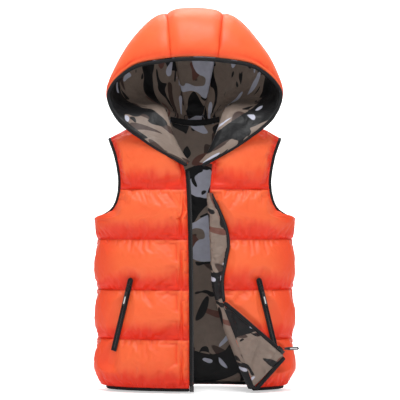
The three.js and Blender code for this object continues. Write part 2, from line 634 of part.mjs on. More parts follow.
for (const [side, sign, front] of [['right', -1, rightFront], ['left', 1, leftFront]]) {
  const half = POCKET_LENGTH / 2;
  const topX = sign * (CHEST_HALF_WIDTH - POCKET_TOP_INSET);
  const footX = sign * (CHEST_HALF_WIDTH - POCKET_FOOT_INSET);
  const rise = Math.sqrt(half ** 2 - ((footX - topX) / 2) ** 2);
  const top = frontPoint(topX, POCKET_MIDDLE_Z + rise);
  const foot = frontPoint(footX, POCKET_MIDDLE_Z - rise);
  const middle = frontPoint((topX + footX) / 2, POCKET_MIDDLE_Z);
  const out = inward(() => middle, 0, 0).negate();
  const frame = lineFrame(`${side}_pocket_frame`, middle.clone().addScaledVector(out, POCKET_CLEARANCE),
    foot.sub(top), out);
  const welt = new THREE.Shape();
  const weltHalf = POCKET_WIDTH / 2;
  welt.moveTo(half, -weltHalf);
  welt.lineTo(half, weltHalf);
  welt.lineTo(weltHalf - half, weltHalf);
  welt.absarc(weltHalf - half, 0, weltHalf, Math.PI / 2, Math.PI * 1.5, false);
  welt.closePath();
  const tape = new THREE.ExtrudeGeometry(welt, { depth: TAPE_THICKNESS, bevelEnabled: false, curveSegments: 6 });
  add(`${side}_pocket_tape`, closed(tape), BLACK_TAPE, frame);
  const coilLength = POCKET_LENGTH - POCKET_WIDTH;
  add(`${side}_pocket_coil`,
    block(coilLength, COIL_WIDTH, 0.8, 0, 0, TAPE_THICKNESS + GAP + 0.4), BLACK_PLASTIC, frame);
  const sliderX = POCKET_SLIDER_AT - half;
  const sliderZ = TAPE_THICKNESS + 2 * GAP + 0.8;
  const slider = add(`${side}_pocket_slider`, surfaceSlider(), BLACK_PLASTIC, frame);
  slider.position.set(sliderX, 0, sliderZ);
  const hingeZ = sliderZ + SLIDER_PLATE + BRIDGE_HEIGHT + HINGE_RADIUS + HINGE_GAP;
  addPull(`${side}_pocket`, frame, sliderX, 0, hingeZ, 0);

  // Bag: a flat patch of the front behind the wadding.
  const bag = (u, v) => {
    const z = mix(POCKET_MIDDLE_Z - half * 0.8, POCKET_MIDDLE_Z + half * 0.9, v);
    return frontPoint(sign * mix(CHEST_HALF_WIDTH - POCKET_TOP_INSET - BAG_WIDTH * 0.5,
      CHEST_HALF_WIDTH - POCKET_FOOT_INSET, u), z);
  };
  add(`${side}_pocket_bag`, slab(bag, BAG_AT, BAG_AT + BAG, 7, 6, inward), BLACK_TAPE);
}

// ---- Loose lower corner of the left front, turned out over the front: flat, hinged along its crease ----
// Outline in [x, z]; its depth follows the plane through the crease and the corner.
const CREASE_TOP = [58, 234];
const CREASE_FOOT = [144, 11];
const EDGE_TOP = [77, 229];
const ZIP_TOP = [101, 209];
const ZIP_FOOT = [226, 100];
const CORNER_FOOT = [228, 82];
const HEM_FOOT = [156, 3];
const FLAP_STAND_OFF = 6;
const CORNER_STAND_OFF = 27;
const FLAP_PAD = 6;
const CREASE_CLEARANCE = 4;

const plane = new THREE.Plane().setFromCoplanarPoints(
  frontPoint(...CREASE_TOP).add(new THREE.Vector3(0, -FLAP_STAND_OFF, 0)),
  frontPoint(...CREASE_FOOT).add(new THREE.Vector3(0, -FLAP_STAND_OFF, 0)),
  frontPoint(...CORNER_FOOT).add(new THREE.Vector3(0, -CORNER_STAND_OFF, 0)),
);
const onPlane = (x, z) => new THREE.Vector3(
  x, -(plane.constant + plane.normal.x * x + plane.normal.z * z) / plane.normal.y, z);

// Flap coordinates: X down the zip edge from its upper end, Y in the plane away from the flap, Z out.
const flapOut = plane.normal.clone().multiplyScalar(-Math.sign(plane.normal.y));
const zipTop = onPlane(...ZIP_TOP);
const zipFoot = onPlane(...ZIP_FOOT);
const flapFrame = lineFrame('left_flap_frame', zipTop, zipFoot.clone().sub(zipTop), flapOut);
flapFrame.updateMatrixWorld(true);
const ZIP_EDGE = zipFoot.distanceTo(zipTop);

const flat = ([x, z]) => {
  const point = flapFrame.worldToLocal(onPlane(x, z));
  return new THREE.Vector2(point.x, point.y);
};

// Flat sheet of an outline given in flap coordinates, between two heights above the flap's back.
function flapSheet(outline, low, high) {
  const sheet = new THREE.ExtrudeGeometry(new THREE.Shape(outline), { depth: high - low, bevelEnabled: false });
  return closed(sheet.translate(0, 0, low));
}

const creaseTop = flat(CREASE_TOP);
const creaseFoot = flat(CREASE_FOOT);
const cornerFoot = flat(CORNER_FOOT);
const hemFoot = flat(HEM_FOOT);
const edgeTop = flat(EDGE_TOP);
const alongCrease = creaseFoot.clone().sub(creaseTop).normalize();
const offCrease = new THREE.Vector2(-alongCrease.y, alongCrease.x);
const creasePoint = (distance) => creaseTop.clone().addScaledVector(alongCrease, distance)
  .addScaledVector(offCrease, CREASE_CLEARANCE);
const creaseLength = creaseTop.distanceTo(creaseFoot);
const xy = (x, y) => new THREE.Vector2(x, y);

const RETAINER_LENGTH = 8;
const BAND_START = 17;
const bandEnd = ZIP_EDGE - RETAINER_LENGTH - GAP;
const teethInner = -TEETH_WIDTH - GAP;
const panelTop = -TAPE_WIDTH - GAP;
const hemInset = HEM_BINDING + GAP;
const panelOutline = [
  creasePoint(BAND_START),
  xy(TAPE_WIDTH / 4, panelTop),
  xy(cornerFoot.x - hemInset, panelTop),
  xy(hemFoot.x - hemInset, creasePoint(creaseLength).y),
  creasePoint(creaseLength),
];
const tapeOutline = [
  creasePoint(0),
  edgeTop,
  xy(-GAP, 0),
  xy(-GAP, teethInner),
  xy(bandEnd, teethInner),
  xy(bandEnd, -TAPE_WIDTH),
  xy(TAPE_WIDTH / 4, -TAPE_WIDTH),
  creasePoint(BAND_START - 2),
];
const teethOutline = [xy(0, 0), xy(0, -TEETH_WIDTH), xy(bandEnd, -TEETH_WIDTH), xy(bandEnd, 0)];
const hemOutline = [
  cornerFoot,
  xy(cornerFoot.x - HEM_BINDING, cornerFoot.y),
  xy(hemFoot.x - HEM_BINDING, hemFoot.y + 1),
  hemFoot,
];
const FLAP_SHELL = 1;
const flapTop = FLAP_SHELL + FLAP_PAD + LINING + 2 * GAP;
const bandMiddle = flapTop / 2;
add('flap_shell', flapSheet(panelOutline, 0, FLAP_SHELL), ORANGE, flapFrame);
add('flap_wadding', flapSheet(panelOutline, FLAP_SHELL + GAP, FLAP_SHELL + GAP + FLAP_PAD), WHITE_WADDING, flapFrame);
add('flap_lining', flapSheet(panelOutline, flapTop - LINING, flapTop), CAMOUFLAGE, flapFrame);
add('flap_hem_binding', flapSheet(hemOutline, 0, flapTop), BLACK_TAPE, flapFrame);
add('flap_zip_tape',
  flapSheet(tapeOutline, bandMiddle - TEETH_THICKNESS / 2, bandMiddle + TEETH_THICKNESS / 2), BLACK_TAPE, flapFrame);
add('flap_zip_teeth',
  flapSheet(teethOutline, bandMiddle - TEETH_THICKNESS / 2, bandMiddle + TEETH_THICKNESS / 2), BLACK_PLASTIC,
  flapFrame);
add('zip_retainer_box',
  block(RETAINER_LENGTH, TAPE_WIDTH, TEETH_THICKNESS + 1.6, ZIP_EDGE - RETAINER_LENGTH / 2, -TAPE_WIDTH / 2, bandMiddle),
  BLACK_PLASTIC, flapFrame);

// Front slider, resting just above the retainer box, and its pull pointing to the wearer's left.
const CHANNEL = TEETH_THICKNESS + 2 * GAP;
const SLIDER_REST_GAP = 1;
const PULL_TURN = radians(41);
const sliderRestX = ZIP_EDGE - RETAINER_LENGTH - SLIDER_REST_GAP - SLIDER_LENGTH / 2;
const frontSlider = add('front_slider', edgeSlider(CHANNEL), BLACK_PLASTIC, flapFrame);
frontSlider.position.set(sliderRestX, GAP - (SLIDER_WIDTH / 2 - 2), bandMiddle);
const frontHingeZ = bandMiddle + CHANNEL / 2 + SLIDER_PLATE + BRIDGE_HEIGHT + HINGE_RADIUS + HINGE_GAP;
addPull('front', flapFrame, sliderRestX, frontSlider.position.y, frontHingeZ, PULL_TURN);

garment.position.set(0, -LOOP_Y, -LOOP_SEAT_Z);
const vest = new THREE.Group();
vest.add(garment);

export default vest;
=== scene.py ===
"""Blaze orange vest: a hooded, quilted, reversible waistcoat with a camouflage lining, modelled over its frame.

Coordinates inside the functions stand on the hem: x towards the wearer's left, z up from the hem, and a side,
-1 for the front and 1 for the back. to_world() moves them into the frame. All sizes are in metres.
"""
import math

import bmesh
import bpy
import numpy as np
from mathutils import Matrix, Vector, noise

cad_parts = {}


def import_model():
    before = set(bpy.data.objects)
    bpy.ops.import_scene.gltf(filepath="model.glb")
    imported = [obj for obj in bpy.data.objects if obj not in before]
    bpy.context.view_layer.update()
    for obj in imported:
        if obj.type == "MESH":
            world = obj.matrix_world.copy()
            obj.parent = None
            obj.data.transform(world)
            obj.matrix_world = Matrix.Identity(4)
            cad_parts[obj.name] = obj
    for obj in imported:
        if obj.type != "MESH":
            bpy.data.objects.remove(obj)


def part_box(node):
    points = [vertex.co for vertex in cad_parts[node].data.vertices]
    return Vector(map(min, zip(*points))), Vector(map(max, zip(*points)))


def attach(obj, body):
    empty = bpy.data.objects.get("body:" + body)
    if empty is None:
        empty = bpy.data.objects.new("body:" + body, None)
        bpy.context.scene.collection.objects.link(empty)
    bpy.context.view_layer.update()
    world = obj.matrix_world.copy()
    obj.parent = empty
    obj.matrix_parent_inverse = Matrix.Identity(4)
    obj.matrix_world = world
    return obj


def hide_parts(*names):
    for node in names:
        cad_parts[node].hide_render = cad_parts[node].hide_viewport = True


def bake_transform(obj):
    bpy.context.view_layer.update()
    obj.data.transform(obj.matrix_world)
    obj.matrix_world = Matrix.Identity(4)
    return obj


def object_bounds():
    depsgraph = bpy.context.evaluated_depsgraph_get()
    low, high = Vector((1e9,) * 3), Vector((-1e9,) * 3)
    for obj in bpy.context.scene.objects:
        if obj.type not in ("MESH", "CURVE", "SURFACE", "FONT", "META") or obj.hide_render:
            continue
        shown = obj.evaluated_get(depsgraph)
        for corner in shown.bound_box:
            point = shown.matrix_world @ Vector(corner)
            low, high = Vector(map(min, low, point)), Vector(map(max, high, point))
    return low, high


bl_info = {
    "name": "Blaze orange vest",
    "version": (1, 0, 0),
    "blender": (4, 5, 0),
    "location": "View3D > Sidebar > Vest",
    "description": "Quilted hooded waistcoat with bound edges, open front zip and two zip pockets",
    "category": "Object",
}

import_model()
CAD_BOX = [list(corner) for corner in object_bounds()]

# ---- Sizes taken from the frame ----
BACK_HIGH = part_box("back_shell")[1]
HEM_Z = CAD_BOX[0][2]
BODY_DEPTH = 0.090
SIDE_Y = BACK_HIGH.y - BODY_DEPTH
CHEST_HALF = BACK_HIGH.x
HEM_BINDING_STAND = 0.0067
HEM_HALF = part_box("back_hem_binding")[1].x - HEM_BINDING_STAND

# ---- Shape of the body, as in the frame ----
FLARE_HEIGHT = 0.060
ARMHOLE_FOOT = 0.437
ARMHOLE_CUT = 0.055
TIP_X = 0.224
TIP_Z = 0.640
SHOULDER_SLOPE = 0.545
NECK_ROUND = 0.040
SHOULDER_TURN = 0.180
TIP_TURN = 0.080
NECK_HALF = 0.088
BACK_NECK_DROP = 0.020
FRONT_NECK_Z = 0.553
SEAMS = (0.1305, 0.255, 0.382, 0.508)
TOP_SEAM = SEAMS[-1]
HEM_BAND = 0.009
ARMHOLE_BAND = 0.0075
ZIP_BAND = 0.011

# ---- Quilting ----
SEAM_SINK = -0.0035
ROW_STEP = 0.0052
CLOTH_FRAMES = 18
CLOTH_TRAVEL = 0.011
CLOTH_SETTINGS = {
    "quality": 4, "mass": 0.2, "tension_stiffness": 12, "compression_stiffness": 12, "shear_stiffness": 4,
    "bending_stiffness": 0.4, "tension_damping": 12, "compression_damping": 12, "shear_damping": 12,
    "bending_damping": 2, "vertex_group_mass": "seams", "use_pressure": True, "uniform_pressure_force": 5.0,
    "shrink_min": -0.055,
}
SMOOTH_ANGLE = math.radians(40)
SIDES = (("right", -1), ("left", 1))
UP = (0.0, 0.0, 1.0)


def smooth(share):
    share = np.clip(share, 0, 1)
    return share * share * (3 - 2 * share)


def mix(a, b, share):
    return a + (b - a) * share


def ridge(x):
    return np.hypot(x, NECK_ROUND)


def shoulder_z(x):
    return TIP_Z + (ridge(TIP_X) - ridge(x)) * SHOULDER_SLOPE


NECK_POINT_Z = float(shoulder_z(NECK_HALF))


def half_width(z):
    return mix(HEM_HALF, CHEST_HALF, np.sin(np.clip(z / FLARE_HEIGHT, 0, 1) * math.pi / 2))


def turn_height(x):
    return mix(SHOULDER_TURN, TIP_TURN, np.clip(x / TIP_X, -1, 1) ** 2)


def turn_share(x, z):
    return np.clip(1 - (shoulder_z(x) - z) / turn_height(x), 0, 1)


def depth(x, z):
    ellipse = np.sqrt(np.maximum(0, 1 - (x / half_width(z)) ** 2))
    return BODY_DEPTH * ellipse * np.sqrt(np.maximum(0, 1 - turn_share(x, z) ** 2))


def outward(x, z, side):
    """Unit normals of the body's surface, and its points, at x and z."""
    y = side * depth(x, z)
    share = turn_share(x, z)
    across = np.maximum(0, 1 - (x / half_width(z)) ** 2)
    lean = share * across / turn_height(x)
    normal = np.stack([x / half_width(z) ** 2 * (1 - share ** 2) + lean * SHOULDER_SLOPE * x / ridge(x),
                       y / BODY_DEPTH ** 2 + side * 1e-4, lean + 1e-6], -1)
    return np.stack([x, y, z], -1), unit(normal)


def to_world(points):
    return np.asarray(points, float) + np.array([0.0, SIDE_Y, HEM_Z])


def unit(vectors):
    return vectors / np.linalg.norm(vectors, axis=-1, keepdims=True)


def running_length(points):
    """Distance of each point from the first one, along their polyline."""
    return np.r_[0, np.cumsum(np.linalg.norm(np.diff(points, axis=0), axis=1))]


def path_length(points):
    return np.linalg.norm(np.diff(points, axis=0), axis=1).sum()


def sampled(places, steps, values):
    """Points or vectors read at places along their steps."""
    return np.stack([np.interp(places, steps, values[:, k]) for k in range(3)], -1)


def evened(values, times):
    """Inner values averaged with their neighbours, several times over."""
    values = values.copy()
    for _ in range(times):
        values[1:-1] = (values[:-2] + values[1:-1] + values[2:]) / 3
    return values


def spline(keys, shares):
    """Centripetal Catmull-Rom through the keys, listed evenly, at shares 0..1."""
    keys = np.asarray(keys, float)
    padded = np.vstack([2 * keys[0] - keys[1], keys, 2 * keys[-1] - keys[-2]])
    place = np.clip(np.asarray(shares, float), 0, 1) * (len(keys) - 1)
    index = np.minimum(place.astype(int), len(keys) - 2)
    t = (place - index)[..., None]
    a, b, c, d = (padded[index + k] for k in range(4))
    first, middle, last = (np.sqrt(np.linalg.norm(q - p, axis=-1, keepdims=True))
                           for p, q in ((a, b), (b, c), (c, d)))
    start = ((b - a) / first - (c - a) / (first + middle) + (c - b) / middle) * middle
    end = ((c - b) / middle - (d - b) / (middle + last) + (d - c) / last) * middle
    return (b + start * t + (3 * (c - b) - 2 * start - end) * t ** 2 + (2 * (b - c) + start + end) * t ** 3)


ARMHOLE_KEYS = [
    (CHEST_HALF, ARMHOLE_FOOT),
    (CHEST_HALF - ARMHOLE_CUT * 0.72, mix(ARMHOLE_FOOT, TIP_Z, 0.13)),
    (CHEST_HALF - ARMHOLE_CUT, mix(ARMHOLE_FOOT, TIP_Z, 0.38)),
    (mix(CHEST_HALF - ARMHOLE_CUT, TIP_X, 0.3), mix(ARMHOLE_FOOT, TIP_Z, 0.72)),
    (TIP_X, TIP_Z),
]
ARMHOLE_LINE = spline(ARMHOLE_KEYS, np.linspace(0, 1, 60))


def armhole_x(z):
    return np.interp(z, ARMHOLE_LINE[:, 1], ARMHOLE_LINE[:, 0])


# Inner edges of the fronts and creases of the left front, (x, z) upwards.
RIGHT_EDGE = np.array([(0.002, 0.0), (0.004, 0.331), (0.009, 0.506), (0.013, FRONT_NECK_Z)])
NECK_LINE = np.array([(0.049, mix(FRONT_NECK_Z, NECK_POINT_Z, 0.385)),
                      (0.074, mix(FRONT_NECK_Z, NECK_POINT_Z, 0.733)), (NECK_HALF, NECK_POINT_Z)])
LEFT_CREASE = np.array([(0.146, 0.0), (0.127, 0.041), (0.101, 0.1055), (0.083, 0.1485), (0.066, 0.200),
                        (0.058, 0.234), (0.050, 0.269), (0.047, 0.330), (0.045, 0.381), (0.041, 0.450),
                        (0.037, 0.493), (0.042, FRONT_NECK_Z)])
TURNED_EDGE = np.array([(0.074, 0.228), (0.071, 0.282), (0.079, 0.329), (0.086, 0.372), (0.079, 0.415),
                        (0.058, 0.467), (0.043, 0.500), (0.040, 0.545)])


def line_x(line, z):
    return np.interp(z, line[:, 1], line[:, 0])


def round_line(line, count=60):
    """The outline drawn as one smooth curve."""
    fine = spline(line, np.linspace(0, 1, count))
    fine[:, 1] = np.maximum.accumulate(fine[:, 1])
    return fine


def panel_rows():
    """Heights of a body panel's rows: even steps that land on every seam. Also each row's channel share."""
    marks = [HEM_BAND, *SEAMS, TIP_Z]
    rows, shares = [], []
    for low, high in zip(marks, marks[1:]):
        count = round((high - low) / ROW_STEP)
        part = np.linspace(0, 1, count, endpoint=False)
        if high == TIP_Z:
            part = np.sin(part * math.pi / 2) * 0.35 + part * 0.65
        rows.extend(mix(low, high, part))
        shares.extend(part)
    return np.array(rows + [TIP_Z]), np.array(shares + [1.0])


def row_height(rows, top):
    share = np.maximum(0, (rows - TOP_SEAM) / (TIP_Z - TOP_SEAM))
    return np.where(share > 0, mix(TOP_SEAM, top, share), rows)


def outer_angle(rows, inset=ARMHOLE_BAND):
    armhole = np.arcsin(np.clip((armhole_x(rows) - inset * smooth((rows - ARMHOLE_FOOT) / 0.008))
                                / half_width(rows), -1, 1))
    return np.where(rows <= ARMHOLE_FOOT, math.pi / 2 - 0.003, armhole)


def front_panel(side, inner_line, columns):
    """Outer surface of a front: x, z and rows' channel shares on a grid, u from the inner edge to the side."""
    rows, shares = panel_rows()
    u = np.linspace(0, 1, columns)[None, :]
    inner_z = row_height(rows, NECK_POINT_Z)
    inner_angle = np.arcsin(line_x(inner_line, inner_z) / half_width(inner_z))[:, None]
    angle = mix(inner_angle, outer_angle(rows)[:, None], u)
    top_angle = mix(math.asin(NECK_HALF / CHEST_HALF), outer_angle(np.array([TIP_Z]))[0], u)
    z = row_height(rows[:, None], shoulder_z(CHEST_HALF * np.sin(top_angle)))
    return side * half_width(z) * np.sin(angle), z + 0 * angle, shares


def neck_line_z(x):
    neck = NECK_POINT_Z - BACK_NECK_DROP * (1 - (x / NECK_HALF) ** 2)
    return np.where(np.abs(x) > NECK_HALF, shoulder_z(x), neck)


def back_panel(columns):
    """Outer surface of the back, u from the right side to the left."""
    rows, shares = panel_rows()
    turn = np.linspace(-1, 1, columns)[None, :]
    top = neck_line_z(CHEST_HALF * np.sin(turn * outer_angle(np.array([TIP_Z]))[0]))
    z = row_height(rows[:, None], top)
    return half_width(z) * np.sin(turn * outer_angle(rows)[:, None]), z + 0 * turn, shares


def hash_noise(points, scale, seed):
    """Smooth noise from -1 to 1 at each point."""
    offset = Vector((seed * 7.31, seed * 3.17, seed * 5.77))
    return np.array([noise.noise(Vector(p) * scale + offset) for p in points.reshape(-1, 3)]).reshape(
        points.shape[:-1])


# ---- Meshes ----
def make_object(name, vertices, faces, uv=None):
    mesh = bpy.data.meshes.new(name)
    mesh.from_pydata([tuple(v) for v in vertices], [], faces)
    mesh.validate()
    if uv is not None:
        layer = mesh.uv_layers.new(name="cloth")
        corners = np.zeros(len(mesh.loops), int)
        mesh.loops.foreach_get("vertex_index", corners)
        layer.data.foreach_set("uv", np.asarray(uv, np.float32)[corners].ravel())
    mesh.shade_smooth()
    piece = bpy.data.objects.new(name, mesh)
    bpy.context.scene.collection.objects.link(piece)
    return piece


def grid_faces(rows, columns, flip=False):
    index = np.arange(rows * columns).reshape(rows, columns)
    quads = np.stack([index[:-1, :-1], index[:-1, 1:], index[1:, 1:], index[1:, :-1]], -1).reshape(-1, 4)
    return quads[:, ::-1] if flip else quads


def rim(rows, columns):
    """Indices round the border of a grid, in order."""
    index = np.arange(rows * columns).reshape(rows, columns)
    return np.concatenate([index[0, :-1], index[:-1, -1], index[-1, :0:-1], index[:0:-1, 0]])


def running_grid(points):
    """Running lengths across and up a grid of points."""
    across = np.linalg.norm(np.diff(points, axis=1), axis=-1)
    upward = np.linalg.norm(np.diff(points, axis=0), axis=-1)
    return (np.concatenate([np.zeros((points.shape[0], 1)), np.cumsum(across, 1)], 1),
            np.concatenate([np.zeros((1, points.shape[1])), np.cumsum(upward, 0)], 0))


def grid_lengths(points):
    """A flat map of a grid of cloth, in metres."""
    u, v = running_grid(points)
    return np.stack([u - u.mean(1, keepdims=True), v], -1)


def facing_right_way(piece):
    """Turns a closed mesh's faces outwards, by the sign of its volume."""
    bm = bmesh.new()
    bm.from_mesh(piece.data)
    if bm.calc_volume(signed=True) < 0:
        bmesh.ops.reverse_faces(bm, faces=bm.faces)
    bm.to_mesh(piece.data)
    bm.free()
    return piece


def padded_grid(name, outer, inner):
    """Closed piece between two equal grids of points."""
    rows, columns = outer.shape[:2]
    count = rows * columns
    border = rim(rows, columns)
    following = np.roll(border, -1)
    wall = np.stack([border, following, following + count, border + count], -1)
    faces = np.vstack([grid_faces(rows, columns), grid_faces(rows, columns, True) + count, wall[:, ::-1]])
    uv = np.vstack([grid_lengths(outer).reshape(-1, 2)] * 2)
    points = np.vstack([outer.reshape(-1, 3), inner.reshape(-1, 3)])
    return facing_right_way(make_object(name, to_world(points), faces.tolist(), uv))


def start_clean():
    if bpy.context.object and bpy.context.object.mode != "OBJECT":
        bpy.ops.object.mode_set(mode="OBJECT")
    bpy.ops.object.select_all(action="DESELECT")


def select_only(piece):
    start_clean()
    piece.select_set(True)
    bpy.context.view_layer.objects.active = piece


def apply_modifier(piece, kind, **settings):
    """Adds a modifier with its settings and applies it."""
    modifier = piece.modifiers.new(kind.lower(), kind)
    for key, value in settings.items():
        setattr(modifier, key, value)
    select_only(piece)
    bpy.ops.object.modifier_apply(modifier=modifier.name)
    return piece


def smooth_by_angle(piece):
    select_only(piece)
    bpy.ops.object.shade_smooth_by_angle(angle=SMOOTH_ANGLE)
    return piece


def subdivide(piece):
    apply_modifier(piece, "SUBSURF", levels=1, render_levels=1)
    piece.data.shade_smooth()
    return piece


def inflate(points, normals, pinned):
    """Fills a quilted sheet by cloth simulation: pinned points stay, the rest swells and puckers."""
    rows, columns = points.shape[:2]
    flip = np.einsum("ijk,ijk->", np.cross(points[:-1, 1:] - points[:-1, :-1], points[1:, :-1] - points[:-1, :-1]),
                     normals[:-1, :-1]) < 0
    faces = grid_faces(rows, columns, flip)
    cloth_piece = make_object("filling", points.reshape(-1, 3), faces.tolist())
    group = cloth_piece.vertex_groups.new(name="seams")
    group.add([int(i) for i in np.flatnonzero(pinned.ravel())], 1.0, "REPLACE")
    cloth = cloth_piece.modifiers.new("cloth", "CLOTH")
    for key, value in CLOTH_SETTINGS.items():
        setattr(cloth.settings, key, value)
    cloth.settings.effector_weights.gravity = 0
    cloth.collision_settings.use_collision = False
    cloth.point_cache.frame_end = CLOTH_FRAMES
    scene = bpy.context.scene
    for step in range(1, CLOTH_FRAMES + 1):
        scene.frame_set(step)
    shape = cloth_piece.evaluated_get(bpy.context.evaluated_depsgraph_get()).to_mesh()
    moved = np.zeros(len(shape.vertices) * 3)
    shape.vertices.foreach_get("co", moved)
    scene.frame_set(1)
    bpy.data.objects.remove(cloth_piece)
    travel = moved.reshape(points.shape) - points
    length = np.linalg.norm(travel, axis=-1, keepdims=True)
    return points + travel * np.minimum(1, CLOTH_TRAVEL / np.maximum(length, 1e-9))


# ---- Hood: curves from its opening edge back to the neckline, as in the frame ----
def neck_z(share):
    return mix(FRONT_NECK_Z, NECK_POINT_Z, share)


def above(height):
    return NECK_POINT_Z + height


def before(stand):
    return -(BODY_DEPTH + stand)


MERIDIANS = np.array([
    [(0.020, before(0.018), FRONT_NECK_Z + 0.009), (0.018, before(0.014), FRONT_NECK_Z + 0.011),
     (0.016, before(0.010), FRONT_NECK_Z + 0.013), (0.014, before(0.008), FRONT_NECK_Z + 0.015)],
    [(0.126, before(0.002), neck_z(0.455)), (0.108, before(-0.002), neck_z(0.423)),
     (0.072, before(0), neck_z(0.41)), (0.049, before(0.006), neck_z(0.423))],
    [(0.200, before(-0.006), neck_z(0.865)), (0.200, before(-0.038), neck_z(0.828)),
     (0.136, before(-0.050), neck_z(0.853)), (0.078, before(-0.036), neck_z(0.941))],
    [(0.218, before(-0.020), above(0.041)), (0.232, -0.010, above(0.064)),
     (0.190, 0.062, above(0.017)), (NECK_HALF, 0.008, above(0.007))],
    [(0.158, before(-0.001), above(0.096)), (0.182, -0.040, above(0.240)),
     (0.190, 0.150, above(0.089)), (0.060, 0.054, above(-0.006))],
    [(0.080, before(0.012), above(0.112)), (0.106, -0.085, above(0.324)),
     (0.112, 0.205, above(0.254)), (0.030, 0.068, above(-0.013))],
    [(0.0, before(0.016), above(0.117)), (0.0, -0.095, above(0.358)),
     (0.0, 0.215, above(0.274)), (0.0, 0.074, above(-0.016))],
])
HOOD_LINES = np.concatenate([MERIDIANS, (MERIDIANS * np.array([-1, 1, 1]))[-2::-1]])
CENTRE_SHARE = 0.12
FOOT_TURN = 0.985
HOOD_BAND = 0.0075


def hood_points(turns, edge_inset, neck_inset, rows):
    """Grid of hood points, rows from the opening edge to the neckline, columns along the opening edge."""
    handles = np.stack([spline(HOOD_LINES[:, k], (1 - np.asarray(turns)) / 2) for k in range(4)])
    fine = np.linspace(0, 1, 200)[:, None, None]

    def curve(t):
        a, b, c, d = handles
        return (1 - t) ** 3 * a + 3 * t * (1 - t) ** 2 * b + 3 * t ** 2 * (1 - t) * c + t ** 3 * d

    length = np.linalg.norm(np.diff(curve(fine), axis=0), axis=-1).sum(0)
    start = np.minimum(edge_inset / length, 0.3)
    end = 1 - np.minimum(neck_inset / length, 0.3)
    shares = np.linspace(0, 1, rows)[:, None]
    return curve(mix(start, end, shares)[..., None]), length


def grid_normals(points, outside):
    """Unit normals of a grid, on the side where outside lies for its middle point."""
    normal = np.cross(np.gradient(points, axis=1), np.gradient(points, axis=0))
    size = np.linalg.norm(normal, axis=-1, keepdims=True)
    normal = normal / np.maximum(size, 1e-12)
    middle = tuple(n // 2 for n in points.shape[:2])
    if normal[middle] @ (np.asarray(outside) - points[middle]) < 0:
        normal = -normal
    return normal


# ---- Loose lower corner of the left front: a flat flap on its crease, as in the frame ----
CREASE_TOP = (0.058, 0.234)
CREASE_FOOT = (0.144, 0.011)
ZIP_TOP = (0.101, 0.209)
ZIP_FOOT = (0.226, 0.100)
CORNER_FOOT = (0.228, 0.082)
HEM_FOOT = (0.156, 0.003)
EDGE_TOP = (0.077, 0.229)
FLAP_STAND_OFF = 0.006
CORNER_STAND_OFF = 0.027
FLAP_THICKNESS = 0.0086


def front_point(x, z):
    return np.array([x, -float(depth(x, z)), z])


def flap_plane():
    a = front_point(*CREASE_TOP) - (0, FLAP_STAND_OFF, 0)
    b = front_point(*CREASE_FOOT) - (0, FLAP_STAND_OFF, 0)
    c = front_point(*CORNER_FOOT) - (0, CORNER_STAND_OFF, 0)
    normal = np.cross(b - a, c - a)
    normal /= np.linalg.norm(normal)
    return a, (normal if normal[1] < 0 else -normal)


PLANE_POINT, FLAP_OUT = flap_plane()


def on_flap_plane(x, z):
    """Point of the flap's plane at x and z."""
    y = PLANE_POINT[1] - (FLAP_OUT[0] * (x - PLANE_POINT[0]) + FLAP_OUT[2] * (z - PLANE_POINT[2])) / FLAP_OUT[1]
    return np.array([x, y, z])


def line_frame(origin, along, out):
    """Matrix in the frame whose X runs along a line and whose Z is close to out. Origin stands on the hem."""
    x_axis = along / np.linalg.norm(along)
    z_axis = out - (out @ x_axis) * x_axis
    z_axis /= np.linalg.norm(z_axis)
    matrix = np.eye(4)
    matrix[:3, 0], matrix[:3, 1], matrix[:3, 2] = x_axis, np.cross(z_axis, x_axis), z_axis
    matrix[:3, 3] = to_world(origin)
    return matrix


FLAP_FRAME = line_frame(on_flap_plane(*ZIP_TOP), on_flap_plane(*ZIP_FOOT) - on_flap_plane(*ZIP_TOP), FLAP_OUT)
FLAP_EDGE = float(np.linalg.norm(on_flap_plane(*ZIP_FOOT) - on_flap_plane(*ZIP_TOP)))


def placed(points, matrix):
    points = np.asarray(points, float)
    return points @ matrix[:3, :3].T + matrix[:3, 3]


def in_flap(corner):
    """A corner of the flap, (x, z) on the garment, in flap coordinates."""
    world = to_world(on_flap_plane(*corner)) - FLAP_FRAME[:3, 3]
    return (world @ FLAP_FRAME[:3, :3])[:2]


# ---- Quilted cloth ----
def puff(share, fullness=1.0):
    """Height of a filled channel at a share of its height, 0 at the seams and fullest below the middle."""
    share = np.clip(share, 0, 1) ** 0.82
    round_part = np.sqrt(np.maximum(0, 1 - (2 * share - 1) ** 2))
    return fullness * (0.45 * round_part + 0.55 * np.sin(math.pi * share))


def refine(points):
    """Twice as fine a grid through the same points, on smooth curves."""
    def halfway(p):
        first, last = 2 * p[0] - p[1], 2 * p[-1] - p[-2]
        padded = np.concatenate([first[None], p, last[None]])
        middle = (9 * (p[:-1] + p[1:]) - padded[:-3] - padded[3:]) / 16
        out = np.empty((2 * len(p) - 1, *p.shape[1:]))
        out[::2], out[1::2] = p, middle
        return out
    return halfway(halfway(points).swapaxes(0, 1)).swapaxes(0, 1)


def edge_distances(points):
    """Distances in metres of grid points from the first and last column and row: left, right, foot, top."""
    u, v = running_grid(points)
    return u, u[:, -1:] - u, v, v[-1:] - v


def rising(distance, reach):
    """0 at an edge, 1 from reach inwards, round like a stuffed edge."""
    share = np.clip(distance / reach, 0, 1)
    return np.sqrt(1 - (1 - share) ** 2)


def wrinkles(points, scale, stretch, seed):
    """Sharp irregular folds from 0 to 1; stretch above 1 draws them out upwards."""
    squeezed = points * np.array([1.0, 1.0, 1.0 / stretch])
    field = hash_noise(squeezed, scale, seed) + 0.5 * hash_noise(squeezed, scale * 2.1, seed + 3)
    return 1 - np.abs(field) * 1.6


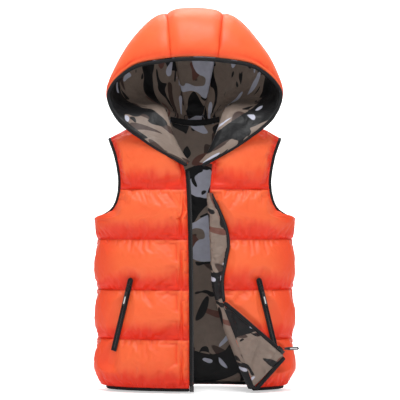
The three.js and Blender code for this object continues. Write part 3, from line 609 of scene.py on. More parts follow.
def quilted(side, x, z, shares, stitch_columns, fullness, seed):
    """Outer face of a quilted panel from its grid: filled channels, sewn seams, puckers, gathered hem."""
    points, normals = outward(x, z, side)
    u_low, u_high, v_low, v_high = edge_distances(points)
    edges = rising(np.minimum(u_low, u_high), 0.036) * rising(v_low, 0.016) * rising(v_high, 0.020)
    seam_share = shares[:, None] + 0 * x
    is_seam = (shares < 1e-9) | (shares > 1 - 1e-9)
    height = puff(seam_share) * np.where(z > TOP_SEAM, 0.9, 1) * edges * fullness
    start = points + normals * (SEAM_SINK + height * 0.75)[..., None]
    pinned = np.zeros(x.shape, bool)
    pinned[is_seam] = True
    pinned[:, 0] = pinned[:, -1] = True
    pinned[0] = pinned[-1] = True
    for column in stitch_columns:
        pinned[:, column] = True
        start[:, column] = points[:, column] + normals[:, column] * SEAM_SINK * 0.6
    return inflate(start, normals, pinned), points, normals


def closed_panel(name, filled, surface, normals, seed, inner_at, edge_inner_at, hem_folds, edge_puckers):
    """Fine closed panel: wrinkles laid over the filled face, a smooth inner face against the lining, and a painted
    shade mask stored on its points.
    """
    filled, surface, normals = refine(filled), refine(surface), refine(normals)
    normals = unit(normals)
    u_low, u_high, v_low, v_high = edge_distances(surface)
    side_gap, end_gap = np.minimum(u_low, u_high), np.minimum(v_low, v_high)
    z = surface[..., 2]
    seam_gap = np.min([np.abs(z - seam) for seam in SEAMS], axis=0)
    seam_gap = np.where(z > TOP_SEAM, v_low - np.min(np.where(z > TOP_SEAM, v_low, 9)), seam_gap)
    tall = wrinkles(surface, 62, 3.2, seed)
    fine = wrinkles(surface, 120, 2.4, seed + 11)
    broad = hash_noise(surface, 14, seed + 23)
    keep = np.clip(seam_gap / 0.004, 0, 1) * np.clip(side_gap / 0.004, 0, 1) * np.clip(end_gap / 0.004, 0, 1)
    move = 0.0016 * broad * keep
    move += 0.0016 * (tall - 0.4) * np.exp(-seam_gap / 0.012) * keep
    move += 0.0007 * (fine - 0.4) * np.exp(-seam_gap / 0.007) * keep
    move += edge_puckers * (fine - 0.3) * np.exp(-side_gap / 0.010) * keep
    folds = wrinkles(surface, 36, 3.5, seed + 31)
    move += hem_folds * (folds - 0.45) * np.exp(-np.maximum(v_low - 0.004, 0) / 0.026) * keep
    outer = filled + normals * move[..., None]
    if not name.startswith("back"):
        height = np.einsum("ijk,ijk->ij", outer - surface, normals)
        room = room_above(name.removesuffix("_padding"), surface, normals)
        outer = outer + normals * (np.minimum(height, room) - height)[..., None]
    # Painted shade: darker at the foot of each channel, in the valleys of the hem's folds, along the side edges, along
    # the neck and towards the sides, with some random unevenness on top.
    marks = np.array([HEM_BAND, *SEAMS])
    above_seam = z - marks[np.clip(np.searchsorted(marks, z, side="right") - 1, 0, len(marks) - 1)]
    uneven = 0.016 * hash_noise(surface, 11, seed + 41) + 0.007 * hash_noise(surface, 34, seed + 43)
    shade = 1 - smooth((above_seam + uneven + 0.008 * (tall - 0.4) - 0.020) / 0.042)
    shade = shade * mix(0.82, 1.0, np.exp(-above_seam / 0.020))
    hem_zone = np.exp(-np.maximum(v_low - 0.004, 0) / 0.030)
    shade = np.maximum(shade, hem_zone * np.clip(1.0 - 1.5 * folds, 0, 1))
    shade = np.maximum(shade, 0.75 * np.exp(-(side_gap / 0.007) ** 2) * np.clip(0.4 + fine, 0, 1))
    near_neck = np.where(z > TOP_SEAM, np.minimum(side_gap, v_high), 1.0)
    shade = np.maximum(shade, 0.9 * (1 - smooth((near_neck - 0.008) / 0.016)))
    shade = np.maximum(shade, 0.55 * smooth((np.abs(surface[..., 0]) - 0.175) / 0.055))
    shade = np.clip(shade + 0.10 * np.maximum(0, broad), 0, 1)
    inner_depth = mix(edge_inner_at, inner_at, rising(np.min([u_low, u_high, v_low, v_high], axis=0), 0.02))
    inner = surface - normals * inner_depth[..., None]
    return set_shade(padded_grid(name, outer, inner), shade)


def set_shade(piece, shade):
    """Stores a painted shade mask, 0 to 1, for each point of a padded grid, on its outer and inner face."""
    layer = piece.data.attributes.new("fold_shade", "FLOAT", "POINT")
    layer.data.foreach_set("value", np.concatenate([np.asarray(shade, float).ravel()] * 2))
    return piece


def thin_sheet(name, outer, normals, thickness=0.0007):
    """Closed thin sheet of lining behind a grid of points."""
    return padded_grid(name, outer, outer - normals * thickness)


# ---- Strips: bindings, tapes and threads swept along a path ----
def tube_faces(count, around, closed=False):
    """Quads between rings of points, and a face on each end unless the tube closes on itself."""
    index = np.arange(count * around).reshape(count, around)
    turned = np.roll(index, -1, axis=1)
    faces = np.stack([index[:-1], turned[:-1], turned[1:], index[1:]], -1).reshape(-1, 4).tolist()
    if closed:
        return faces + np.stack([index[-1], turned[-1], turned[0], index[0]], -1).tolist()
    return faces + [index[0].tolist(), index[-1, ::-1].tolist()]


def sweep(name, centres, across, up, profile, round_ends=True, closed=False):
    """Closed strip: profile points (across, up) carried along the path, its ends drawn in when round."""
    centres, across, up = np.broadcast_arrays(*(np.asarray(a, float) for a in (centres, across, up)))
    across = unit(across)
    up = unit(up - np.einsum("ij,ij->i", up, across)[:, None] * across)
    profile = np.asarray(profile, float)
    scale = np.ones(len(centres))
    if round_ends and not closed:
        scale[[0, -1]] = 0.55
    rings = (centres[:, None] + (profile[None, :, :1] * scale[:, None, None]) * across[:, None]
             + (profile[None, :, 1:] * scale[:, None, None]) * up[:, None])
    uv = np.stack(np.meshgrid(running_length(profile), running_length(centres)), -1).reshape(-1, 2)
    faces = tube_faces(len(centres), len(profile), closed)
    return facing_right_way(make_object(name, rings.reshape(-1, 3), faces, uv))


def rounded_profile(half_width, half_height, corner, steps=3):
    """Rounded rectangle, points round its outline."""
    points = []
    for cx, cy, start in ((1, 1, 0), (-1, 1, 90), (-1, -1, 180), (1, -1, 270)):
        for k in range(steps + 1):
            angle = math.radians(start + 90 * k / steps)
            points.append((cx * (half_width - corner) + corner * math.cos(angle),
                           cy * (half_height - corner) + corner * math.sin(angle)))
    return points


def along_path(points, *vectors, count):
    """Path and its vectors taken at even steps."""
    points = np.asarray(points, float)
    steps = running_length(points)
    places = np.linspace(0, steps[-1], count)
    return [sampled(places, steps, np.broadcast_to(p, points.shape)) for p in (points, *vectors)]


def binding(name, points, inwards, normals, width, half_height, at, step=0.004, ripple=0.0003):
    """Folded elastic binding round an edge: points on the edge, inwards along the cloth, normals out of it."""
    count = max(4, round(path_length(points) / step))
    centres, side, out = along_path(points, inwards, normals, count=count)
    side, out = unit(side), unit(out)
    wave = hash_noise(centres, 55, len(name))[:, None]
    centres = centres + side * (width / 2) - out * at + out * wave * ripple * 2
    profile = rounded_profile(width / 2, half_height, min(width / 2, half_height) * 0.75)
    return sweep(name, to_world(centres), side, out, profile)


STITCH_LENGTH = 0.0024
STITCH_RADIUS = 0.00032
STITCH_LIFT = 0.0002
GRAIN_SIDES = 6


def stitches(name, points, normals, pitch):
    """Row of single threads along a seam, each a small rounded grain."""
    count = max(2, int(path_length(points) / pitch))
    centres, out = along_path(points, normals, count=count + 1)
    run, out = unit(np.gradient(centres, axis=0)), unit(out)
    side = np.cross(run, out)
    ring = [(math.cos(a), math.sin(a)) for a in np.arange(GRAIN_SIDES) * math.tau / GRAIN_SIDES]
    grain = np.array([(-0.5, 0, 0)] + [(x, c, s) for x in (-0.34, 0.34) for c, s in ring] + [(0.5, 0, 0)])
    points = (centres[:, None] + out[:, None] * STITCH_LIFT + grain[None, :, :1] * STITCH_LENGTH * run[:, None]
              + grain[None, :, 1:2] * STITCH_RADIUS * side[:, None]
              + grain[None, :, 2:] * STITCH_RADIUS * out[:, None])
    here = np.arange(GRAIN_SIDES) + 1
    after = np.roll(here, -1)
    top, last = GRAIN_SIDES, 2 * GRAIN_SIDES + 1
    faces = [[0, b, a] for a, b in zip(here, after)]
    faces += [[a, b, b + top, a + top] for a, b in zip(here, after)]
    faces += [[last, a + top, b + top] for a, b in zip(here, after)]
    all_faces = [[int(i) + len(grain) * n for i in face] for n in range(len(centres)) for face in faces]
    return facing_right_way(make_object(name, to_world(points).reshape(-1, 3), all_faces))


def joined(name, pieces):
    """One piece from several meshes."""
    start_clean()
    for piece in pieces:
        piece.select_set(True)
    bpy.context.view_layer.objects.active = pieces[0]
    bpy.ops.object.join()
    piece = bpy.context.view_layer.objects.active
    piece.name = piece.data.name = name
    return piece


def finish_piece(piece, body, finish, replaces=(), blend=None):
    """Gives a piece the material of its finish in its one slot; parents it to its body, or only bakes its transform
    when it blends between two; and hides the frame's nodes that it replaces.
    """
    piece.data.materials.clear()
    piece.data.materials.append(material_of(finish))
    if blend:
        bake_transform(piece)
    else:
        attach(piece, body)
    if replaces:
        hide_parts(*replaces)
    return piece


# ---- Modelling by hand tools ----
def settled(name):
    """Names the newest primitive and puts its place and size into its mesh."""
    piece = bpy.context.object
    piece.name = piece.data.name = name
    bpy.ops.object.transform_apply(location=True, rotation=True, scale=True)
    return piece


def new_block(name, size, centre=(0, 0, 0)):
    start_clean()
    bpy.ops.mesh.primitive_cube_add(size=1, location=centre, scale=size)
    return settled(name)


def new_rod(name, radius, length, centre=(0, 0, 0), upright=False, sides=20):
    """Rod along Y, or along Z when upright."""
    start_clean()
    turn = (0, 0, 0) if upright else (math.pi / 2, 0, 0)
    bpy.ops.mesh.primitive_cylinder_add(vertices=sides, radius=radius, depth=length, location=centre, rotation=turn)
    return settled(name)


def faces_out(face):
    return face.normal.z > 0.9


def faces_forward(face):
    return face.normal.y < -0.9


def inset_and_push(piece, wanted, inset, push):
    """Insets the wanted faces and moves them along their normals: a recess when push is below 0."""
    select_only(piece)
    bpy.ops.object.mode_set(mode="EDIT")
    bpy.ops.mesh.select_mode(type="FACE")
    bpy.ops.mesh.select_all(action="DESELECT")
    bm = bmesh.from_edit_mesh(piece.data)
    bm.faces.ensure_lookup_table()
    for face in bm.faces:
        face.select = wanted(face)
    bm.select_flush_mode()
    bmesh.update_edit_mesh(piece.data)
    bpy.ops.mesh.inset(thickness=inset, depth=0)
    bpy.ops.mesh.extrude_region_shrink_fatten(TRANSFORM_OT_shrink_fatten={"value": push})
    bpy.ops.object.mode_set(mode="OBJECT")
    return piece


def rounded_edges(piece, width, segments=2, angle=35):
    apply_modifier(piece, "BEVEL", width=width, segments=segments, limit_method="ANGLE",
                   angle_limit=math.radians(angle), harden_normals=False)
    return smooth_by_angle(piece)


def cut_out(piece, tool):
    apply_modifier(piece, "BOOLEAN", object=tool, operation="DIFFERENCE", solver="EXACT")
    bpy.data.objects.remove(tool)


def place(piece, matrix):
    piece.data.transform(Matrix(matrix.tolist()))
    return piece


# ---- Materials ----
def node(tree, kind, **values):
    made = tree.nodes.new(kind)
    for key, value in values.items():
        if key.startswith("in_"):
            made.inputs[key[3:].replace("_", " ")].default_value = value
        else:
            setattr(made, key, value)
    return made


def group(name, inputs, outputs):
    """Empty shader node group: a Vector input, number inputs with their defaults, and number outputs."""
    tree = bpy.data.node_groups.new(name, "ShaderNodeTree")
    tree.interface.new_socket("Vector", in_out="INPUT", socket_type="NodeSocketVector")
    for label, default in inputs.items():
        tree.interface.new_socket(label, in_out="INPUT", socket_type="NodeSocketFloat").default_value = default
    for label in outputs:
        tree.interface.new_socket(label, in_out="OUTPUT", socket_type="NodeSocketFloat")
    return tree, tree.nodes.new("NodeGroupInput"), tree.nodes.new("NodeGroupOutput")


def feed(tree, socket, value):
    """Links a socket to its source, or sets its own value."""
    if isinstance(value, bpy.types.NodeSocket):
        tree.links.new(value, socket)
    else:
        socket.default_value = value


def maths(tree, operation, a, b=None, clamp=False):
    made = node(tree, "ShaderNodeMath", operation=operation, use_clamp=clamp)
    feed(tree, made.inputs[0], a)
    if b is not None:
        feed(tree, made.inputs[1], b)
    return made.outputs[0]


def weave_group():
    """Plain weave: fine ribs both ways, with slow thread variation. Puts out a height from 0 to 1 and a mottle."""
    if "Plain weave" in bpy.data.node_groups:
        return bpy.data.node_groups["Plain weave"]
    tree, given, out = group("Plain weave", {"Threads": 900.0, "Mottle Scale": 30.0}, ("Height", "Mottle"))
    split = tree.nodes.new("ShaderNodeSeparateXYZ")
    tree.links.new(given.outputs["Vector"], split.inputs[0])
    ribs = [maths(tree, "SINE", maths(tree, "MULTIPLY", split.outputs[axis], given.outputs["Threads"]))
            for axis in range(2)]
    tree.links.new(scaled(tree, maths(tree, "ADD", *ribs), 0.25, 0.5), out.inputs["Height"])
    mottle = node(tree, "ShaderNodeTexNoise", in_Detail=3.0, in_Roughness=0.6)
    tree.links.new(given.outputs["Vector"], mottle.inputs["Vector"])
    tree.links.new(given.outputs["Mottle Scale"], mottle.inputs["Scale"])
    tree.links.new(mottle.outputs[0], out.inputs["Mottle"])
    return tree


def blotch_group():
    """One layer of printed blotches with round lobes. Puts out a mask from 0 to 1."""
    if "Printed blotches" in bpy.data.node_groups:
        return bpy.data.node_groups["Printed blotches"]
    tree, given, out = group("Printed blotches", {"Scale": 10.0, "Share": 0.5, "Seed": 0.0}, ("Mask",))
    moved = node(tree, "ShaderNodeVectorMath", operation="ADD")
    tree.links.new(given.outputs["Vector"], moved.inputs[0])
    shift = tree.nodes.new("ShaderNodeCombineXYZ")
    for axis, factor in enumerate((1.0, 0.37, 0.61)):
        tree.links.new(maths(tree, "MULTIPLY", given.outputs["Seed"], factor), shift.inputs[axis])
    tree.links.new(shift.outputs[0], moved.inputs[1])
    field = node(tree, "ShaderNodeTexNoise", in_Detail=1.2, in_Roughness=0.45, in_Distortion=0.9)
    tree.links.new(moved.outputs[0], field.inputs["Vector"])
    tree.links.new(given.outputs["Scale"], field.inputs["Scale"])
    over = maths(tree, "SUBTRACT", field.outputs[0], given.outputs["Share"])
    tree.links.new(maths(tree, "MULTIPLY", over, 160.0, clamp=True), out.inputs["Mask"])
    return tree


def new_material(name):
    material = bpy.data.materials.new(name)
    material.use_nodes = True
    tree = material.node_tree
    shader = tree.nodes["Principled BSDF"]
    return material, tree, shader


def surface_vector(tree, uv):
    if uv:
        return node(tree, "ShaderNodeUVMap", uv_map="cloth").outputs[0]
    return tree.nodes.new("ShaderNodeTexCoord").outputs["Object"]


def set_inputs(made, **values):
    """Sets a node's own sockets by name, with _ for a space."""
    for key, value in values.items():
        made.inputs[key.replace("_", " ")].default_value = value


def use_group(tree, made, vector, **values):
    placed_group = node(tree, "ShaderNodeGroup", node_tree=made)
    tree.links.new(vector, placed_group.inputs["Vector"])
    set_inputs(placed_group, **values)
    return placed_group


def noise_field(tree, vector, **values):
    made = node(tree, "ShaderNodeTexNoise", **values)
    tree.links.new(vector, made.inputs["Vector"])
    return made.outputs[0]


def scaled(tree, value, factor, plus):
    return maths(tree, "ADD", maths(tree, "MULTIPLY", value, factor), plus)


def blend_colours(tree, factor, first, second):
    made = node(tree, "ShaderNodeMix", data_type="RGBA", blend_type="MIX")
    tree.links.new(factor, made.inputs[0])
    for socket, colour in ((made.inputs[6], first), (made.inputs[7], second)):
        feed(tree, socket, colour if isinstance(colour, bpy.types.NodeSocket) else (*colour[:3], 1))
    return made.outputs[2]


def add_bump(tree, shader, height, distance, strength, under=None):
    """Bump on the shader's normal, laid over the bump under it."""
    bump = node(tree, "ShaderNodeBump", in_Strength=strength, in_Distance=distance)
    tree.links.new(height, bump.inputs["Height"])
    if under is not None:
        tree.links.new(under, bump.inputs["Normal"])
    tree.links.new(bump.outputs[0], shader.inputs["Normal"])
    return bump.outputs[0]


def nylon_material(tree, shader, colours):
    """Satin orange nylon: fine weave, slow colour change, and painted shade that turns hollows and shaded folds redder.
    """
    weave = use_group(tree, weave_group(), surface_vector(tree, True), Threads=7400.0, Mottle_Scale=9.0)
    streaks = noise_field(tree, surface_vector(tree, False), in_Scale=34.0, in_Detail=3.0)
    share = maths(tree, "MULTIPLY", weave.outputs["Mottle"], 0.5)
    tint = blend_colours(tree, share, colours.nylon, colours.nylon_shade)
    # Painted shade: hollows found by pointiness, and the painted shade mask stored on the panels as fold_shade, are
    # tinted to the redder shade colour.
    hollow = tree.nodes.new("ShaderNodeNewGeometry").outputs["Pointiness"]
    crease = maths(tree, "MULTIPLY", maths(tree, "SUBTRACT", 0.5, hollow), 7.0, clamp=True)
    fold = node(tree, "ShaderNodeAttribute", attribute_name="fold_shade")
    crease = maths(tree, "MAXIMUM", crease, fold.outputs["Fac"])
    tint = blend_colours(tree, crease, tint, colours.nylon_shade)
    tree.links.new(tint, shader.inputs["Base Color"])
    tree.links.new(scaled(tree, streaks, 0.16, 0.36), shader.inputs["Roughness"])
    set_inputs(shader, Specular_IOR_Level=0.35, Sheen_Weight=0.06, Sheen_Roughness=0.4,
               Sheen_Tint=(1.0, 0.55, 0.35, 1))
    creases = add_bump(tree, shader, streaks, 0.004, 0.25)
    add_bump(tree, shader, weave.outputs["Height"], 0.0002, 0.25, under=creases)


def camouflage_material(tree, shader, colours):
    """Printed lining: five inks in round-lobed blotches on a plain weave."""
    vector = surface_vector(tree, True)
    layers = ((7.0, 0.585, 3.1, colours.lining_brown), (8.0, 0.66, 11.7, colours.lining_rust),
              (8.6, 0.545, 23.9, colours.lining_black), (9.6, 0.615, 41.3, colours.lining_grey),
              (15.0, 0.67, 57.7, colours.lining_black))
    ink = colours.lining_taupe
    for scale, share, seed, colour in layers:
        mask = use_group(tree, blotch_group(), vector, Scale=scale, Share=share, Seed=seed)
        ink = blend_colours(tree, mask.outputs[0], ink, colour)
    weave = use_group(tree, weave_group(), vector, Threads=7400.0, Mottle_Scale=60.0)
    mottle = weave.outputs["Mottle"]
    tone = node(tree, "ShaderNodeHueSaturation")
    tree.links.new(ink, tone.inputs["Color"])
    tree.links.new(scaled(tree, mottle, 0.35, 0.82), tone.inputs["Value"])
    tree.links.new(tone.outputs[0], shader.inputs["Base Color"])
    tree.links.new(scaled(tree, mottle, 0.2, 0.38), shader.inputs["Roughness"])
    set_inputs(shader, Specular_IOR_Level=0.3, Sheen_Weight=0.03)
    soft = noise_field(tree, surface_vector(tree, False), in_Scale=22.0, in_Detail=4.0, in_Distortion=0.6)
    creases = add_bump(tree, shader, soft, 0.012, 0.5)
    add_bump(tree, shader, weave.outputs["Height"], 0.0002, 0.2, under=creases)


def ribbed_material(tree, shader, colour, threads, rough_low=0.55, ridge_depth=0.0003, cloth=True):
    """Elastic, woven tape or thread: ribs across it, lint and a little wear."""
    weave = use_group(tree, weave_group(), surface_vector(tree, cloth), Threads=threads, Mottle_Scale=140.0)
    mottle = weave.outputs["Mottle"]
    lint = maths(tree, "MULTIPLY", mottle, 0.6)
    tint = blend_colours(tree, lint, colour, [min(1, c * 2.6 + 0.006) for c in colour])
    tree.links.new(tint, shader.inputs["Base Color"])
    tree.links.new(scaled(tree, mottle, 0.25, rough_low), shader.inputs["Roughness"])
    set_inputs(shader, Sheen_Weight=0.04, Specular_IOR_Level=0.25)
    add_bump(tree, shader, weave.outputs["Height"], ridge_depth, 0.7)


def hard_material(tree, shader, colour, roughness, metallic=0.0, grain=900.0, coat=0.0):
    """Moulded plastic, enamelled metal or rubber: fine grain, scuffed edges."""
    fine = noise_field(tree, surface_vector(tree, False), in_Scale=grain, in_Detail=4.0)
    edge = tree.nodes.new("ShaderNodeNewGeometry").outputs["Pointiness"]
    scuff = maths(tree, "MULTIPLY", maths(tree, "SUBTRACT", edge, 0.54), 9.0, clamp=True)
    scuff = maths(tree, "MULTIPLY", scuff, fine)
    tint = blend_colours(tree, scuff, colour, [min(1, c * 2.2 + 0.05) for c in colour])
    tree.links.new(tint, shader.inputs["Base Color"])
    tree.links.new(scaled(tree, fine, 0.16, roughness), shader.inputs["Roughness"])
    set_inputs(shader, Metallic=metallic, Coat_Weight=coat)
    add_bump(tree, shader, fine, 0.0001, 0.3)


# Each finish: the record's slot, the material's name and maker, its one colour, and the maker's values.
FINISHES = {
    "nylon": ("orange_nylon", "Orange nylon", nylon_material, None, {}),
    "camouflage": ("camouflage_lining", "Camouflage lining", camouflage_material, None, {}),
    "binding": ("black_binding", "Black elastic binding", ribbed_material, "binding", {"threads": 5200.0}),
    "tape": ("zip_tape", "Black zip tape", ribbed_material, "binding",
             {"threads": 4200.0, "rough_low": 0.5, "ridge_depth": 0.0002}),
    "pocketing": ("pocketing", "Black pocketing", ribbed_material, "binding",
                  {"threads": 6200.0, "rough_low": 0.6, "ridge_depth": 0.0001}),
    "thread": ("orange_nylon", "Orange thread", ribbed_material, "nylon_shade",
               {"threads": 9000.0, "rough_low": 0.45, "ridge_depth": 0.0001, "cloth": False}),
    "plastic": ("black_plastic", "Black zip plastic", hard_material, "hard_parts", {"roughness": 0.28, "coat": 0.1}),
    "enamel": ("black_metal", "Black enamelled slider", hard_material, "hard_parts",
               {"roughness": 0.22, "metallic": 0.4, "grain": 600.0, "coat": 0.3}),
    "rubber": ("pull_rubber", "Moulded rubber pull", hard_material, "hard_parts", {"roughness": 0.5, "grain": 1500.0}),
    "mark": ("pull_rubber", "Pale moulded mark", hard_material, "mark", {"roughness": 0.45, "grain": 1200.0}),
}


def material_of(finish):
    """The material of a finish, made on its first use."""
    _, name, make, colour, values = FINISHES[finish]
    if name not in bpy.data.materials:
        colours = bpy.context.scene.vest_colours
        _, tree, shader = new_material(name)
        make(tree, shader, tuple(getattr(colours, colour)) if colour else colours, **values)
    return bpy.data.materials[name]


# ---- Panels of the body ----
PAD_INNER = 0.0128
EDGE_INNER = 0.0098
LINING_AT = 0.0136
EDGE_LINING = 0.0104
HOOD_TOP_BLEND = ((0, 0.04, 0.010), (0, 0.04, 0.120))


def cloth_columns(width):
    return round(width / bpy.context.scene.vest_sizes.cloth_step) + 1


def right_inner_line():
    return round_line(np.vstack([RIGHT_EDGE + (ZIP_BAND + 0.0003, 0), NECK_LINE]))


def left_inner_line():
    return round_line(np.vstack([LEFT_CREASE + (0.001, 0), NECK_LINE]))


def panel_specs():
    """Grid, side, seed and node stem of the three body panels."""
    right = front_panel(-1, right_inner_line(), cloth_columns(0.30))
    left = front_panel(1, left_inner_line(), cloth_columns(0.27))
    back = back_panel(cloth_columns(0.60))
    return (("back", 1, back, 5), ("right_front", -1, right, 9), ("left_front", -1, left, 14))


def outside_of(corners, x, z):
    """Distance of points outside a convex outline listed clockwise, negative inside it."""
    corners = np.asarray(corners, float)
    middle = corners.mean(0)
    gaps = []
    for a, b in zip(corners, np.roll(corners, -1, axis=0)):
        out = np.array([b[1] - a[1], a[0] - b[0]]) / np.linalg.norm(b - a)
        out = out if out @ (a - middle) > 0 else -out
        gaps.append((x - a[0]) * out[0] + (z - a[1]) * out[1])
    return np.max(gaps, axis=0)


def room_above(name, surface, normals):
    """How high a front may stand where a pocket's zip, the turned-out edge or the loose corner lies over it."""
    frame_matrix = pocket_frame(-1 if name == "right_front" else 1)
    local = (to_world(surface) - frame_matrix[:3, 3]) @ frame_matrix[:3, :3]
    beyond = np.maximum(local[..., 0] - POCKET_LENGTH / 2 - 0.034, -local[..., 0] - POCKET_LENGTH / 2)
    distance = np.hypot(np.maximum(0, beyond), np.maximum(0, np.abs(local[..., 1]) - POCKET_WIDTH / 2))
    room = 0.0004 + 0.8 * np.maximum(0, distance - 0.0025)
    if name == "left_front":
        x, z = surface[..., 0], surface[..., 2]
        edge = np.where(z > FACING_FOOT, turned_edge_x(z), crease_x(z) + 0.012)
        aside = np.maximum(np.maximum(0, x - edge - 0.002), np.maximum(0, z - FACING_HEAD))
        room = np.minimum(room, 0.0004 + 0.8 * aside)
        gap = (to_world(PLANE_POINT) - to_world(surface)) @ FLAP_OUT / np.maximum(normals @ FLAP_OUT, 0.2)
        outline = (CREASE_TOP, EDGE_TOP, ZIP_TOP, ZIP_FOOT, CORNER_FOOT, HEM_FOOT, CREASE_FOOT)
        away = outside_of(outline, x, z)
        over = np.clip(0.9 * (away - 0.006), 0, 0.008) + np.maximum(0, away - 0.055)
        room = np.minimum(room, np.maximum(gap - 0.0022, 0.0004) + over)
    return room


class VEST_OT_body_panels(bpy.types.Operator):
    """Makes the quilted back and fronts by cloth simulation between their sewn seams"""
    bl_idname = "vest.body_panels"
    bl_label = "Quilted body panels"

    def execute(self, context):
        sizes = context.scene.vest_sizes
        for name, side, (x, z, shares), seed in panel_specs():
            columns = [round(0.014 / sizes.cloth_step)] if name == "right_front" else []
            filled, surface, normals = quilted(side, x, z, shares, columns, sizes.puff_height, seed)
            piece = closed_panel(f"{name}_padding", filled, surface, normals, seed, PAD_INNER, EDGE_INNER,
                                 0.0085 if name != "back" else 0.0050, 0.0014)
            finish_piece(piece, "vest_body", "nylon", [f"{name}_shell", f"{name}_wadding"])
        return {"FINISHED"}


class VEST_OT_body_linings(bpy.types.Operator):
    """Makes the printed lining inside the back and fronts"""
    bl_idname = "vest.body_linings"
    bl_label = "Body linings"

    def execute(self, context):
        for name, side, (x, z, shares), seed in panel_specs():
            x, z = x[::2, ::2], z[::2, ::2]
            surface, normals = outward(x, z, side)
            surface, normals = refine(surface), unit(refine(normals))
            inner = rising(np.min(edge_distances(surface), axis=0), 0.02)
            seam = np.min([np.abs(surface[..., 2] - s) for s in SEAMS], axis=0)
            dip = 0.0018 * np.exp(-seam / 0.02) * inner
            wave = 0.0012 * hash_noise(surface, 20, seed) * inner
            behind = surface - normals * (mix(EDGE_LINING, LINING_AT + 0.0018, inner) - dip + wave)[..., None]
            piece = thin_sheet(f"{name}_lining_cloth", behind, normals)
            finish_piece(piece, "vest_body", "camouflage", [f"{name}_lining"])
        return {"FINISHED"}


# ---- Hood ----
NECK_ROWS = (0.2, 0.4, 0.6, 0.8, 1.0)
HOOD_BODIES = ("vest_body", "hood")
EDGE_BAND = 0.0085
HOOD_EDGE_INSET = HOOD_BAND + 0.0014


def hood_turns():
    """Column places of the three hood panels along the opening edge."""
    side = np.linspace(CENTRE_SHARE + 0.0002, FOOT_TURN, 110)
    centre = np.linspace(-CENTRE_SHARE + 0.0002, CENTRE_SHARE - 0.0002, 30)
    return (("right", -side[::-1]), ("centre", centre), ("left", side))


def body_neckline():
    """Edge of the body's neck, from the right front's foot round the back to the left: points and normals."""
    heights = np.linspace(FRONT_NECK_Z, NECK_POINT_Z, 90)
    right, right_out = outward(-line_x(right_inner_line(), heights), heights, -1)
    left, left_out = outward(line_x(left_inner_line(), heights), heights, -1)
    x = np.linspace(-NECK_HALF, NECK_HALF, 160)[1:-1]
    back, back_out = outward(x, neck_line_z(x), 1)
    out = evened(np.vstack([right_out, back_out, left_out[::-1]]), 12)
    return np.vstack([right, back, left[::-1]]), unit(out)


def down_to_neckline(grid, course, sunk, beyond, lift=0.0):
    """Carries a hood grid on along the hood's course to the body's neckline, sunk behind it, beyond its edge."""
    line, out = body_neckline()
    foot = grid[-1]
    nearest = np.argmin(np.linalg.norm(foot[:, None] - line[None], axis=-1), axis=1).astype(float)
    order = slice(None, None, -1 if nearest[-1] < nearest[0] else 1)
    nearest = evened(np.maximum.accumulate(nearest[order]), 30)[order]
    steps = np.arange(len(line))
    goal, normal, tangent = (sampled(nearest, steps, each) for each in (line, out, np.gradient(line, axis=0)))
    inward = unit(np.cross(tangent, normal))
    inward *= -np.sign(inward[:, 2:])
    goal = goal - normal * sunk + inward * beyond
    heading = unit(course[-1] - course[-2])
    reach = np.linalg.norm(goal - foot, axis=-1, keepdims=True)
    added = [mix(foot + heading * reach * t * 0.9, goal, smooth(t)) - inward * lift * math.sin(math.pi * t)
             for t in NECK_ROWS]
    return np.concatenate([grid, np.array(added)])


